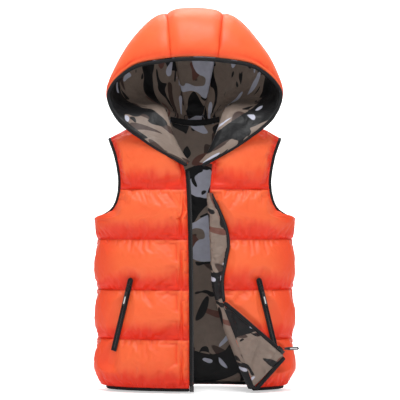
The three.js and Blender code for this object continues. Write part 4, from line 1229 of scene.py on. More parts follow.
class VEST_OT_hood(bpy.types.Operator):
    """Makes the padded hood in three panels with its printed lining"""
    bl_idname = "vest.hood"
    bl_label = "Hood"

    def execute(self, context):
        for order, (name, turns) in enumerate(hood_turns()):
            points, length = hood_points(turns, HOOD_EDGE_INSET, 0.002, 84)
            normals = grid_normals(points, outside=(0, 0, 1.4) if name == "centre" else
                                   (math.copysign(1.5, turns.sum()), 0, above(0.1)))
            u_low, u_high, v_low, v_high = edge_distances(points)
            outer_end = u_high if name == "left" else u_low
            seam_side = {"right": u_high, "centre": np.minimum(u_low, u_high), "left": u_low}[name]
            room = np.clip(length / 0.12, 0.12, 1)[None, :]
            soft = rising(seam_side, 0.030) * rising(v_high, 0.030) * rising(outer_end, 0.030)
            in_band = v_low < EDGE_BAND
            band_round = 0.0018 * np.sqrt(np.maximum(0, 1 - (2 * v_low / EDGE_BAND - 1) ** 2)) - 0.001
            main = -0.0022 + 0.0068 * soft * rising(v_low - EDGE_BAND, 0.034)
            height = np.where(in_band, band_round, main) * room
            fine = wrinkles(points, 80, 1.0, 51 + order)
            broad = hash_noise(points, 13, 61 + order)
            ripple = hash_noise(points * np.array([1, 0.5, 0.5]), 60, 71 + order)
            near = np.exp(-np.maximum(v_low - EDGE_BAND, 0) / 0.010) * (~in_band)
            gather = np.exp(-np.maximum(seam_side, 0) / 0.008)
            keep = np.clip(seam_side / 0.003, 0, 1) * np.clip(v_high / 0.004, 0, 1) * room
            height = height + keep * (0.0016 * broad * (~in_band) + 0.0030 * (fine - 0.3) * near
                                      + 0.0016 * ripple * gather + 0.0004 * ripple)
            outer = down_to_neckline(points + normals * height[..., None], points, 0.0030, 0.004)
            gap = np.min([seam_side, v_low, v_high], axis=0)
            depth_in = mix(0.0050, 0.0072, rising(gap, 0.02)) * mix(0.6, 1, room)
            inner = down_to_neckline(points - normals * depth_in[..., None], points, 0.0095, 0.004)
            piece = padded_grid(f"hood_{name}_padding", outer, inner)
            nodes = [f"hood_{name}_shell"] + (["hood_wadding"] if name == "centre" else [f"{name}_collar_shell"])
            # Painted shade on the hood: darker in the puckers by the edge band, in the gathers at the seams and along
            # the band's seam line, and darker and darker down into the neckline.
            shade = np.maximum(0.55 * near * np.clip(fine + 0.4, 0, 1), 0.5 * gather * np.clip(0.5 + ripple, 0, 1))
            shade = np.clip(shade + 0.75 * np.exp(-np.abs(v_low - EDGE_BAND) / 0.0018), 0, 1)
            neck_shade = np.linspace(0.2, 1, len(NECK_ROWS))[:, None] + 0 * shade[:len(NECK_ROWS)]
            set_shade(piece, np.vstack([shade, neck_shade]))
            finish_piece(piece, HOOD_BODIES, "nylon", nodes, HOOD_TOP_BLEND)
            seam_sink = 0.0016 * np.exp(-seam_side / 0.006)
            wave = 0.0035 * hash_noise(points, 16, 81 + order) + 0.0012 * hash_noise(points, 45, 91 + order)
            inside = rising(gap, 0.035) * room
            behind = points - normals * (depth_in + 0.0007 + inside * (0.0032 + wave) - seam_sink * 0.3)[..., None]
            behind = down_to_neckline(behind, points, 0.0172, 0.012, 0.006)
            lining_normals = np.concatenate([normals, np.repeat(normals[-1:], len(NECK_ROWS), axis=0)])
            lining = thin_sheet(f"hood_{name}_lining_cloth", behind, lining_normals)
            lining_nodes = [f"hood_{name}_lining"] + ([] if name == "centre" else [f"{name}_collar_lining"])
            finish_piece(lining, HOOD_BODIES, "camouflage", lining_nodes, HOOD_TOP_BLEND)
        points, _ = hood_points(np.linspace(-0.996, 0.996, 260), 0.0, 0.0, 60)
        out = grid_normals(points, outside=(0, 0, 1.4))[1]
        piece = binding("hood_edge_binding", points[0], points[2] - points[0], out, HOOD_BAND + 0.0012, 0.0042, 0.0030)
        finish_piece(piece, HOOD_BODIES, "binding",
                     ["hood_binding", "right_collar_binding", "left_collar_binding"], HOOD_TOP_BLEND)
        return {"FINISHED"}


# ---- Bindings of the armholes and the hem ----
EDGE_MIDDLE = 0.0069
EDGE_HALF_THICKNESS = 0.0046


def armhole_path(side):
    """Edge of an armhole from its foot up the front, over the tip and down the back: points, inwards, normals."""
    rows = mix(ARMHOLE_FOOT, TIP_Z, np.linspace(0, 1, 70) ** 1.6)
    z = row_height(rows, float(shoulder_z(TIP_X)))
    x = armhole_x(rows) * 0.9994
    front, front_out = outward(x, z, -1)
    back, back_out = outward(x, z, 1)
    points = np.vstack([front, back[-2:0:-1]])
    out = np.vstack([front_out, back_out[-2:0:-1]])
    points, out = along_path(np.vstack([points, points[:1]]), np.vstack([out, out[:1]]), count=220)
    points, out = points[:-1], out[:-1]
    for _ in range(3):
        out = (np.roll(out, 1, 0) + out + np.roll(out, -1, 0)) / 3
    out = unit(out)
    inwards = -np.cross(np.roll(points, -1, 0) - np.roll(points, 1, 0), out)
    mirror = np.array([side, 1, 1])
    return points * mirror, inwards * mirror, out * mirror


def hem_path():
    """Foot edge of the body, from the right front round the back to the left front."""
    start = -math.asin(0.0133 / HEM_HALF)
    end = -2 * math.pi + math.asin((LEFT_CREASE[0, 0] + 0.001) / HEM_HALF)
    angle = np.linspace(start, end, 360)
    points = np.stack([HEM_HALF * np.sin(angle), -BODY_DEPTH * np.cos(angle), 0.0008 + 0 * angle], -1)
    return points, UP, unit(np.stack([np.sin(angle) / HEM_HALF, -np.cos(angle) / BODY_DEPTH, 0 * angle], -1))


class VEST_OT_body_bindings(bpy.types.Operator):
    """Makes the black elastic bindings of the armholes and the hem"""
    bl_idname = "vest.body_bindings"
    bl_label = "Armhole and hem bindings"

    def execute(self, context):
        for name, side in SIDES:
            points, inwards, out = armhole_path(side)
            inwards = unit(inwards)
            wave = hash_noise(points, 60, 3 + side)[:, None]
            centres = points + inwards * (ARMHOLE_BAND / 2 + 0.0004) - out * (EDGE_MIDDLE + 0.0006 * wave)
            profile = rounded_profile(ARMHOLE_BAND / 2 + 0.0006, EDGE_HALF_THICKNESS, 0.0032)
            piece = sweep(f"{name}_armhole_edge", to_world(centres), inwards, out, profile, closed=True)
            finish_piece(piece, "vest_body", "binding", [f"{name}_armhole_binding"])
        points, inwards, out = hem_path()
        piece = binding("hem_edge_binding", points, inwards, out, HEM_BAND, EDGE_HALF_THICKNESS, EDGE_MIDDLE, 0.003,
                        0.0005)
        finish_piece(piece, "vest_body", "binding",
                     ["back_hem_binding", "right_hem_binding", "left_hem_binding"])
        return {"FINISHED"}


# ---- Turned edge of the left front ----
FACING_FOOT = 0.230
FACING_HEAD = 0.499
ZIP_EDGE_BAND = 0.009


def on_front(x, z, height):
    """Point of the front at a height above its surface."""
    points, normals = outward(np.asarray(x, float), np.asarray(z, float), -1)
    return points + normals * np.asarray(height)[..., None]


def closed_ring(keys, count):
    """Smooth closed ring through (across, up) keys."""
    keys = np.asarray(keys, float)
    looped = np.concatenate([keys[-1:], keys, keys[:2]])
    place_at = np.linspace(0, len(keys), count, endpoint=False)
    index = place_at.astype(int)
    t = (place_at - index)[:, None]
    a, b, c, d = (looped[index + k] for k in range(4))
    return 0.5 * (2 * b + (c - a) * t + (2 * a - 5 * b + 4 * c - d) * t ** 2 + (3 * b - a - 3 * c + d) * t ** 3)


def loft(name, rings):
    """Closed body through equal rings of points."""
    girth = np.linalg.norm(np.roll(rings, -1, 1) - rings, axis=-1).mean(0)
    run = np.r_[0, np.cumsum(np.linalg.norm(np.diff(rings, axis=0), axis=-1).mean(1))]
    uv = np.stack(np.meshgrid(np.r_[0, np.cumsum(girth)[:-1]], run), -1).reshape(-1, 2)
    return facing_right_way(make_object(name, to_world(rings).reshape(-1, 3), tube_faces(*rings.shape[:2]), uv))


def turned_edge_x(z):
    return line_x(round_line(TURNED_EDGE), z)


def crease_x(z):
    return line_x(round_line(LEFT_CREASE), z)


class VEST_OT_turned_edge(bpy.types.Operator):
    """Makes the upper part of the left front's edge, turned out so that its lining and zip show"""
    bl_idname = "vest.turned_edge"
    bl_label = "Turned-out edge"

    def execute(self, context):
        rows = np.linspace(FACING_FOOT, FACING_HEAD, 110)
        rings = []
        for z in rows:
            crease = float(crease_x(z))
            edge = max(float(turned_edge_x(z)) - ZIP_EDGE_BAND + 0.001, crease + 0.006)
            width = edge - crease
            full = 0.0108 + 0.0016 * math.sin(z * 75) + 0.0012 * math.sin(z * 131 + 1)
            keys = [(crease + 0.0100, -0.0156), (crease - 0.001, -0.0172), (crease - 0.0062, -0.0110),
                    (crease - 0.0070, -0.0010), (crease - 0.0045, 0.0065), (crease + 0.15 * width, full),
                    (crease + 0.5 * width, full + 0.0004), (crease + 0.85 * width, full - 0.0022),
                    (edge + 0.0008, 0.0062), (edge + 0.0006, 0.0040), (crease + 0.5 * width, 0.0034),
                    (crease + 0.0012, 0.0032), (crease + 0.0002, -0.0040), (crease + 0.0004, -0.0135)]
            ring = closed_ring(keys, 72)
            rings.append(on_front(ring[:, 0], np.full(len(ring), z), ring[:, 1]))
        rings = np.array(rings)
        middle = rings.mean(1, keepdims=True)
        folds = wrinkles(rings * np.array([1, 1, 1.6]), 48, 0.8, 7)
        rumple = 0.0020 * (folds - 0.4) + 0.0014 * hash_noise(rings, 26, 12)
        rings = rings + unit(rings - middle) * rumple[..., None] * (rings[..., 1:2] < middle[..., 1:2])
        piece = loft("left_turned_edge", rings)
        subdivide(piece)
        finish_piece(piece, "vest_body", "camouflage",
                     ["left_facing_shell", "left_facing_lining"])

        z = np.linspace(FACING_FOOT - 0.004, FACING_HEAD, 100)
        edge = turned_edge_x(z)
        outer, out = outward(edge, z, -1)
        inner, _ = outward(edge - ZIP_EDGE_BAND, z, -1)
        centres = (outer * 0.58 + inner * 0.42) + out * 0.0052
        tape = sweep("left_upper_tape", to_world(centres), inner - outer, out,
                     rounded_profile(ZIP_EDGE_BAND / 2 + 0.0012, 0.0013, 0.0008))
        finish_piece(tape, "vest_body", "tape", ["left_upper_zip_tape"])
        return {"FINISHED"}


# ---- Loose lower corner ----
FLAP_MIDDLE = FLAP_THICKNESS / 2
CREASE_CLEARANCE = 0.004
BAND_START = 0.017
RETAINER_LENGTH = 0.008
BAND_END = FLAP_EDGE - RETAINER_LENGTH - 0.0003


def crease_in_flap(distance, clear=CREASE_CLEARANCE):
    """Point of the flap's crease edge, distance down from its top, in flap coordinates."""
    top, foot = in_flap(CREASE_TOP), in_flap(CREASE_FOOT)
    run = (foot - top) / np.linalg.norm(foot - top)
    return top + run * distance + np.array([-run[1], run[0]]) * clear


def crease_length():
    return float(np.linalg.norm(in_flap(CREASE_FOOT) - in_flap(CREASE_TOP)))


def lay_in_flap(piece):
    """Moves a grid's piece from the hem's origin into the flap."""
    piece.data.transform(Matrix.Translation(-Vector(to_world((0, 0, 0)))))
    return place(piece, FLAP_FRAME)


def off_flap(point, height):
    """Point over the flap's plane, on the hem's origin."""
    return placed([(*point, height)], FLAP_FRAME)[0] - to_world((0, 0, 0))


def flap_grid(rows, columns):
    """Flat grid of the flap's panel, u from crease to zip, v from the top down, in flap coordinates."""
    corner = in_flap(CORNER_FOOT)
    a, b = crease_in_flap(BAND_START), np.array([ZIP_BAND / 4, -ZIP_BAND + 0.001])
    c, d = np.array([corner[0] - 0.0085, -ZIP_BAND + 0.001]), crease_in_flap(crease_length())
    u, v = np.linspace(0, 1, columns)[None, :, None], np.linspace(0, 1, rows)[:, None, None]
    return mix(mix(a, b, u), mix(d, c, u), v)


class VEST_OT_loose_corner(bpy.types.Operator):
    """Makes the lower corner of the left front, folded out: padding, wrinkled lining, fold and bindings"""
    bl_idname = "vest.loose_corner"
    bl_label = "Loose corner"

    def execute(self, context):
        flat = flap_grid(84, 60)
        points = np.concatenate([flat, np.zeros((*flat.shape[:2], 1))], -1)
        u_low, u_high, v_low, v_high = edge_distances(points)
        rise = rising(np.min([u_high, v_low, v_high], axis=0), 0.016) * rising(u_low + 0.006, 0.018)
        broad = hash_noise(points * np.array([1.0, 0.6, 1]), 24, 5)
        cross = points @ np.array([0.8, 0.6, 0])
        folds = (1 - np.abs(np.sin(cross * 62 + 2.2 * hash_noise(points, 16, 9)))) ** 3
        fine = wrinkles(points * np.array([1, 1.2, 1]), 46, 1.0, 15)
        tuck = np.exp(-u_high / 0.012)
        height = 0.0018 + rise * (0.0048 + 0.0030 * broad + 0.0058 * folds + 0.0012 * fine)
        height = height + 0.0012 * tuck * fine * rise
        top = points.copy()
        top[..., 2] = FLAP_MIDDLE + height
        under = points.copy()
        under[..., 2] = FLAP_MIDDLE - 0.0012 - 0.0034 * rise - 0.0008 * broad * rise
        normals = np.zeros_like(points)
        normals[..., 2] = 1
        cloth_under = top - normals * 0.0010 - np.exp(-u_low / 0.0015)[..., None] * normals * 0.0030
        piece = lay_in_flap(padded_grid("corner_padding", cloth_under, under))
        finish_piece(piece, "left_flap", "nylon", ["flap_shell", "flap_wadding"])
        lining = lay_in_flap(thin_sheet("corner_lining_cloth", top, normals))
        finish_piece(lining, "left_flap", "camouflage", ["flap_lining"])

        # Fold along the crease, from the lining inside round to the flap's face.
        rows = np.linspace(0.006, 0.233, 80)
        length = crease_length()
        rings = []
        for z in rows:
            share = (CREASE_TOP[1] - z) / (CREASE_TOP[1] - CREASE_FOOT[1])
            on_edge = crease_in_flap(share * length, CREASE_CLEARANCE + 0.003)
            outside = off_flap(on_edge, FLAP_MIDDLE + 0.0050)
            middle = off_flap(crease_in_flap(share * length, 0.002), FLAP_MIDDLE + 0.0022)
            below = off_flap(on_edge, FLAP_MIDDLE - 0.0012)
            crease = float(crease_x(z))
            inside = on_front(crease + 0.010, z, -0.0158)
            back = on_front(crease - 0.001, z, -0.0170)
            bend = on_front(crease - 0.0065, z, -0.008)
            front = on_front(crease - 0.0050, z, 0.0015) * 0.7 + middle * 0.3
            near = on_front(crease + 0.0004, z, -0.0130)
            near_front = on_front(crease + 0.0002, z, -0.0010)
            rings.append(closed_ring([inside, back, bend, front, middle, outside, below, near_front, near], 44))
        rings = np.array(rings)
        rings = rings + hash_noise(rings, 40, 19)[..., None] * 0.0008 * np.array([0.6, -0.8, 0])
        roll = loft("corner_fold", rings)
        around = rings.shape[1]
        inner_side = [k % around > around * 0.63 for k in range(len(roll.data.polygons))]
        roll.data.materials.append(material_of("camouflage"))
        roll.data.materials.append(material_of("nylon"))
        roll.data.polygons.foreach_set("material_index", inner_side)
        subdivide(roll)
        sides = [polygon.material_index for polygon in roll.data.polygons]
        hinge = to_world(on_flap_plane(*CREASE_TOP) * 0.5 + on_flap_plane(*CREASE_FOOT) * 0.5)
        finish_piece(roll, ("vest_body", "left_flap"), "camouflage", [],
                     (tuple(hinge - 0.020 * FLAP_OUT), tuple(hinge + 0.002 * FLAP_OUT)))
        roll.data.materials.append(material_of("nylon"))
        roll.data.polygons.foreach_set("material_index", sides)

        # Bound hem of the flap, and tape along its zip edge.
        foot, corner = in_flap(HEM_FOOT), in_flap(CORNER_FOOT)
        line = mix(np.array([*foot, FLAP_MIDDLE]), np.array([*corner, FLAP_MIDDLE]), np.linspace(0, 1, 40)[:, None])
        side = np.array([-1.0, 0.0, 0.0])
        hem = sweep("corner_hem_binding", line + side * 0.0046, side, UP, rounded_profile(0.0050, 0.0044, 0.0034))
        place(hem, FLAP_FRAME)
        finish_piece(hem, "left_flap", "binding", ["flap_hem_binding"])
        edge_top = in_flap(EDGE_TOP)
        path = np.array([(*edge_top, FLAP_MIDDLE), (0.0, 0.0, FLAP_MIDDLE), (BAND_END, 0.0, FLAP_MIDDLE)])
        path = np.vstack([mix(path[0], path[1], t) for t in np.linspace(0, 0.85, 8)]
                         + [mix(path[1], path[2], t) for t in np.linspace(0.05, 1, 50)])
        inwards = unit(np.cross(np.gradient(path, axis=0), UP))
        tape = sweep("corner_tape", path + inwards * (ZIP_BAND / 2 + 0.0006), inwards, UP,
                     rounded_profile(ZIP_BAND / 2 - 0.0002, 0.0014, 0.0009))
        place(tape, FLAP_FRAME)
        finish_piece(tape, "left_flap", "tape", ["flap_zip_tape"])
        return {"FINISHED"}


# ---- Front zip ----
def one_tooth():
    """Moulded tooth at the origin: X along the zip, Y across it towards the tape, Z out."""
    tooth = new_block("tooth", (0.00125, 0.0034, 0.0026))
    inset_and_push(tooth, faces_forward, 0.0003, 0.0006)
    return rounded_edges(tooth, 0.00022, segments=1)


def row_of_copies(name, source, centres, run, out):
    """Copies of a small piece at each centre, its X along the run and its Z out, in one mesh."""
    count = len(source.data.vertices)
    local = np.zeros(count * 3)
    source.data.vertices.foreach_get("co", local)
    local = local.reshape(-1, 3)
    run, out = (np.broadcast_to(each, centres.shape) for each in (run, out))
    run = unit(run)
    out = unit(out - np.einsum("ij,ij->i", out, run)[:, None] * run)
    side = np.cross(out, run)
    points = (centres[:, None] + local[None, :, :1] * run[:, None] + local[None, :, 1:2] * side[:, None]
              + local[None, :, 2:] * out[:, None])
    polygons = [list(p.vertices) for p in source.data.polygons]
    faces = [[i + count * n for i in face] for n in range(len(centres)) for face in polygons]
    bpy.data.objects.remove(source)
    return smooth_by_angle(facing_right_way(make_object(name, points.reshape(-1, 3), faces)))


def teeth_row(name, points, inwards, out, pitch):
    """Teeth along a zip's edge; inwards points from the edge to the tape."""
    centres, side, normal = along_path(points, inwards, out, count=max(2, round(path_length(points) / pitch)))
    side = unit(side)
    run = np.gradient(centres, axis=0)
    if np.cross(normal[0], run[0]) @ side[0] < 0:
        run = -run
    return row_of_copies(name, one_tooth(), centres + side * 0.0022, run, normal)


class VEST_OT_front_zip(bpy.types.Operator):
    """Makes the front zip: right tape, three rows of teeth, insertion pin and retainer box"""
    bl_idname = "vest.front_zip"
    bl_label = "Front zip"

    def execute(self, context):
        pitch = context.scene.vest_sizes.tooth_pitch
        z = np.linspace(0.0145, FRONT_NECK_Z, 140)
        edge = -line_x(round_line(RIGHT_EDGE), z)
        surface, out = outward(edge, z, -1)
        tape_middle, _ = outward(edge - ZIP_BAND / 2 - 0.001, z, -1)
        inwards = tape_middle - surface
        tape = sweep("right_front_tape", to_world(tape_middle - out * 0.0050), inwards, out,
                     rounded_profile(ZIP_BAND / 2 + 0.0006, 0.0011, 0.0007))
        piping_middle, _ = outward(edge - ZIP_BAND + 0.0018, z, -1)
        piping = sweep("piping", to_world(piping_middle - out * 0.0052), inwards, out,
                       rounded_profile(0.0021, 0.0036, 0.0019))
        tape = joined("right_front_tape", [tape, piping])
        finish_piece(tape, "vest_body", "tape", ["right_zip_tape"])
        teeth = teeth_row("right_front_teeth", to_world(surface - out * 0.0050), inwards, out, pitch)
        finish_piece(teeth, "vest_body", "plastic", ["right_zip_teeth"])

        z = np.linspace(FACING_FOOT + 0.004, FACING_HEAD - 0.003, 100)
        edge = turned_edge_x(z)
        surface, out = outward(edge, z, -1)
        inner, _ = outward(edge - 0.004, z, -1)
        teeth = teeth_row("left_upper_teeth", to_world(surface + out * 0.0052), inner - surface, out, pitch)
        finish_piece(teeth, "vest_body", "plastic", ["left_upper_zip_teeth"])

        line = np.array([(t, 0.0, FLAP_MIDDLE) for t in np.linspace(0.002, BAND_END, 60)])
        teeth = place(teeth_row("corner_teeth", line, (0, -1.0, 0), UP, pitch), FLAP_FRAME)
        finish_piece(teeth, "left_flap", "plastic", ["flap_zip_teeth"])

        low, high = (np.array(corner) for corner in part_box("zip_insertion_pin"))
        centre, size = (low + high) / 2, high - low
        plate = new_block("pin_plate", (size[0] * 0.96, size[1] * 0.46, size[2]), centre)
        inset_and_push(plate, faces_forward, 0.0012, -0.0004)
        rounded_edges(plate, 0.0007, 3)
        rod = new_rod("pin_rod", 0.0014, size[2] * 0.98, (high[0] - 0.0014, centre[1] - size[1] * 0.1, centre[2]),
                      upright=True, sides=24)
        rounded_edges(rod, 0.0005, 2)
        pin = joined("insertion_pin", [plate, rod])
        finish_piece(pin, "vest_body", "plastic", ["zip_insertion_pin"])

        box = new_block("retainer", (RETAINER_LENGTH, ZIP_BAND, 0.0046),
                        (FLAP_EDGE - RETAINER_LENGTH / 2, -ZIP_BAND / 2, FLAP_MIDDLE))
        inset_and_push(box, faces_out, 0.0013, -0.0005)
        rounded_edges(box, 0.0007, 3)
        place(box, FLAP_FRAME)
        finish_piece(box, "left_flap", "plastic", ["zip_retainer_box"])
        return {"FINISHED"}


# ---- Pockets ----
POCKET_LENGTH = 0.191
POCKET_WIDTH = 0.015
POCKET_MIDDLE_Z = 0.193
POCKET_TOP_X = 0.159
POCKET_FOOT_X = 0.204
POCKET_CLEARANCE = 0.002
TAPE_THICKNESS = 0.0014


def pocket_frame(side):
    rise = math.sqrt((POCKET_LENGTH / 2) ** 2 - ((POCKET_FOOT_X - POCKET_TOP_X) / 2) ** 2)
    top = front_point(side * POCKET_TOP_X, POCKET_MIDDLE_Z + rise)
    foot = front_point(side * POCKET_FOOT_X, POCKET_MIDDLE_Z - rise)
    middle, out = outward(np.array(side * (POCKET_TOP_X + POCKET_FOOT_X) / 2), np.array(POCKET_MIDDLE_Z), -1)
    return line_frame(middle + out * POCKET_CLEARANCE, foot - top, out)


def pocket_outline(inset, count=28):
    """Outline of the pocket's welt: round at the top, square at the foot, in pocket coordinates."""
    half, width = POCKET_LENGTH / 2 - inset, POCKET_WIDTH / 2 - inset
    arc = [(-(POCKET_LENGTH / 2 - POCKET_WIDTH / 2) - width * math.cos(a), width * math.sin(a))
           for a in np.linspace(math.pi / 2, -math.pi / 2, 14)]
    side = np.linspace(-(POCKET_LENGTH / 2 - POCKET_WIDTH / 2), half, count)
    return np.array([(x, width) for x in side[::-1]] + arc[1:-1] + [(x, -width) for x in side])


class VEST_OT_pockets(bpy.types.Operator):
    """Makes the two slanted zip pockets: welts, coils and bags"""
    bl_idname = "vest.pockets"
    bl_label = "Zip pockets"

    def execute(self, context):
        for name, side in SIDES:
            matrix = pocket_frame(side)
            outline = pocket_outline(0.0002)
            welt = make_object("welt", [(x, y, 0.0) for x, y in outline], [list(range(len(outline)))])
            facing_right_way(apply_modifier(welt, "SOLIDIFY", thickness=0.0012, offset=1))
            rounded_edges(welt, 0.0004, 2)
            ring = pocket_outline(0.0026)
            ring = np.vstack([ring, ring[:1]])
            path = np.concatenate([ring, np.full((len(ring), 1), 0.0014)], 1)
            path = along_path(path, count=150)[0][:-1]
            run = np.roll(path, -1, 0) - np.roll(path, 1, 0)
            lip = sweep("lip", path, np.cross(run, UP), UP, rounded_profile(0.0022, 0.0009, 0.0008), closed=True)
            welt = place(joined(f"{name}_pocket_welt", [welt, lip]), matrix)
            finish_piece(welt, "vest_body", "tape", [f"{name}_pocket_tape"])
            link = rounded_edges(new_rod("coil_turn", 0.00052, 0.0030, sides=8), 0.0002, 1)
            length = POCKET_LENGTH - POCKET_WIDTH
            places = np.arange(-length / 2, length / 2, 0.00135)
            centres = np.stack([places, 0 * places, TAPE_THICKNESS + 0.0006 + 0 * places], -1)
            coil = place(row_of_copies(f"{name}_pocket_teeth", link, centres, (1.0, 0, 0), UP), matrix)
            finish_piece(coil, "vest_body", "plastic", [f"{name}_pocket_coil"])

            z = np.linspace(POCKET_MIDDLE_Z - POCKET_LENGTH * 0.40, POCKET_MIDDLE_Z + POCKET_LENGTH * 0.45, 36)[:, None]
            x = side * np.linspace(POCKET_TOP_X - 0.06, POCKET_FOOT_X, 28)[None, :] + 0 * z
            surface, normals = outward(x, z + 0 * x, -1)
            behind = surface - normals * 0.0131
            bag = thin_sheet(f"{name}_pocket_lining", behind, normals, 0.0004)
            finish_piece(bag, "vest_body", "pocketing", [f"{name}_pocket_bag"])
        return {"FINISHED"}


# ---- Sliders and pulls ----
SLIDER_LENGTH = 0.012
SLIDER_WIDTH = 0.009
SLIDER_PLATE = 0.0014
BRIDGE_HEIGHT = 0.002
HINGE_RADIUS = 0.0011
HINGE_LENGTH = 0.005
LINK_LENGTH = 0.012
TAB_START = LINK_LENGTH + 0.0003
TAB_LENGTH = 0.036
TAB_WIDTH = 0.008
MARK_LENGTH = 0.0185
PULL_TURN = math.radians(41)
FRONT_CHANNEL = 0.0036
SLIDER_REST = FLAP_EDGE - RETAINER_LENGTH - 0.001 - SLIDER_LENGTH / 2
SLIDER_Y = 0.0003 - (SLIDER_WIDTH / 2 - 0.002)
POCKET_SLIDER_X = 0.024 - POCKET_LENGTH / 2
POCKET_SLIDER_Z = TAPE_THICKNESS + 0.0014


def slider_plate(name, z):
    """Rounded plate of a slider, waisted towards its foot end."""
    plate = new_block(name, (SLIDER_LENGTH, SLIDER_WIDTH, SLIDER_PLATE), (0, 0, z))
    inset_and_push(plate, faces_out, 0.0012, 0.00025)
    bm = bmesh.new()
    bm.from_mesh(plate.data)
    for vertex in bm.verts:
        if vertex.co.x > 0:
            vertex.co.y *= 0.78
    bm.to_mesh(plate.data)
    bm.free()
    return rounded_edges(plate, 0.00045, 3)


def slider_bridge(z):
    """Arch over the plate that carries the pull's bar."""
    bridge = new_block("bridge", (SLIDER_LENGTH * 0.62, SLIDER_WIDTH / 3, BRIDGE_HEIGHT + 0.0006),
                       (-0.001, 0, z + BRIDGE_HEIGHT / 2 - 0.0003))
    cut_out(bridge, new_rod("hole", 0.0009, 0.012, (-0.001, 0, z + BRIDGE_HEIGHT * 0.45), sides=16))
    return rounded_edges(bridge, 0.0004, 2, 50)


def translated(matrix, x, y, z, turn=0.0):
    move = np.eye(4)
    move[:3, 3] = (x, y, z)
    spin = np.eye(4)
    spin[0, 0] = spin[1, 1] = math.cos(turn)
    spin[0, 1], spin[1, 0] = -math.sin(turn), math.sin(turn)
    return matrix @ move @ spin


class VEST_OT_sliders(bpy.types.Operator):
    """Makes the three zip sliders"""
    bl_idname = "vest.sliders"
    bl_label = "Sliders"

    def execute(self, context):
        for name, side in SIDES:
            parts = [slider_plate("plate", SLIDER_PLATE / 2), slider_bridge(SLIDER_PLATE)]
            piece = joined(f"{name}_pocket_slider_body", parts)
            place(piece, translated(pocket_frame(side), POCKET_SLIDER_X, 0, POCKET_SLIDER_Z))
            finish_piece(piece, f"{name}_pocket_slider", "enamel", [f"{name}_pocket_slider"])
        half = FRONT_CHANNEL / 2 + SLIDER_PLATE
        upper = slider_plate("upper", half - SLIDER_PLATE / 2)
        lower = slider_plate("lower", -half + SLIDER_PLATE / 2)
        post = new_block("post", (SLIDER_LENGTH * 0.8, 0.0016, FRONT_CHANNEL + 0.0006),
                         (0, SLIDER_WIDTH / 2 - 0.0010, 0))
        rounded_edges(post, 0.0003, 2)
        piece = joined("front_slider_body", [upper, lower, post, slider_bridge(half)])
        place(piece, translated(FLAP_FRAME, SLIDER_REST, SLIDER_Y, FLAP_MIDDLE))
        finish_piece(piece, "front_slider", "enamel", ["front_slider"])
        return {"FINISHED"}


def pull_link(name):
    bar = rounded_edges(new_rod("bar", HINGE_RADIUS, HINGE_LENGTH), 0.0003, 2)
    plate = new_block("plate", (LINK_LENGTH, HINGE_LENGTH, 0.0014), (LINK_LENGTH / 2, 0, 0))
    cut_out(plate, new_block("window", (0.0050, 0.0030, 0.01), (LINK_LENGTH * 0.42, 0, 0)))
    cut_out(plate, new_block("eye", (0.003, 0.003, 0.01), (LINK_LENGTH - 0.003, 0, 0)))
    rounded_edges(plate, 0.0003, 2)
    return joined(name, [bar, plate])


def pull_tab(name):
    """Tab with a waisted neck, a round end and a raised rim."""
    tab = new_block(name, (TAB_LENGTH, TAB_WIDTH, 0.0024), (TAB_START + TAB_LENGTH / 2, 0, 0))
    select_only(tab)
    bpy.ops.object.mode_set(mode="EDIT")
    bpy.ops.mesh.select_all(action="SELECT")
    bpy.ops.mesh.subdivide(number_cuts=9)
    bpy.ops.object.mode_set(mode="OBJECT")
    for vertex in tab.data.vertices:
        x = vertex.co.x
        from_end = TAB_START + TAB_LENGTH - x
        narrow = mix(0.72, 1.0, float(smooth((x - TAB_START) / 0.010)))
        if from_end < TAB_WIDTH / 2:
            narrow *= math.sqrt(max(0.0, 1 - (1 - from_end / (TAB_WIDTH / 2)) ** 2)) * 0.9 + 0.1
        vertex.co.y *= narrow
    inset_and_push(tab, faces_out, 0.0009, -0.0003)
    return rounded_edges(tab, 0.00035, 2, 30)


def pull_mark(name):
    """Plain pale bar raised on the tab."""
    start = TAB_START + TAB_LENGTH * 0.34
    bar = new_block(name, (MARK_LENGTH, 0.0032, 0.0005), (start + MARK_LENGTH / 2, 0, 0.0011))
    return rounded_edges(inset_and_push(bar, faces_out, 0.0007, -0.0002), 0.0002, 2)


class VEST_OT_pulls(bpy.types.Operator):
    """Makes the pulls of the three sliders: link, rubber tab and its pale mark"""
    bl_idname = "vest.pulls"
    bl_label = "Pulls"

    def execute(self, context):
        pocket_hinge = POCKET_SLIDER_Z + SLIDER_PLATE + BRIDGE_HEIGHT + HINGE_RADIUS + 0.0004
        front_hinge = FLAP_MIDDLE + FRONT_CHANNEL / 2 + SLIDER_PLATE + BRIDGE_HEIGHT + HINGE_RADIUS + 0.0004
        for name, matrix in (
                ("right_pocket", translated(pocket_frame(-1), POCKET_SLIDER_X, 0, pocket_hinge)),
                ("left_pocket", translated(pocket_frame(1), POCKET_SLIDER_X, 0, pocket_hinge)),
                ("front", translated(FLAP_FRAME, SLIDER_REST, SLIDER_Y, front_hinge, PULL_TURN))):
            body = f"{name}_pull"
            link = place(pull_link(f"{name}_link"), matrix)
            finish_piece(link, body, "enamel", [f"{name}_pull_link"])
            tab = place(pull_tab(f"{name}_tab"), matrix)
            finish_piece(tab, body, "rubber", [f"{name}_pull_tab"])
            mark = place(pull_mark(f"{name}_tab_mark"), matrix)
            finish_piece(mark, body, "mark")
        return {"FINISHED"}


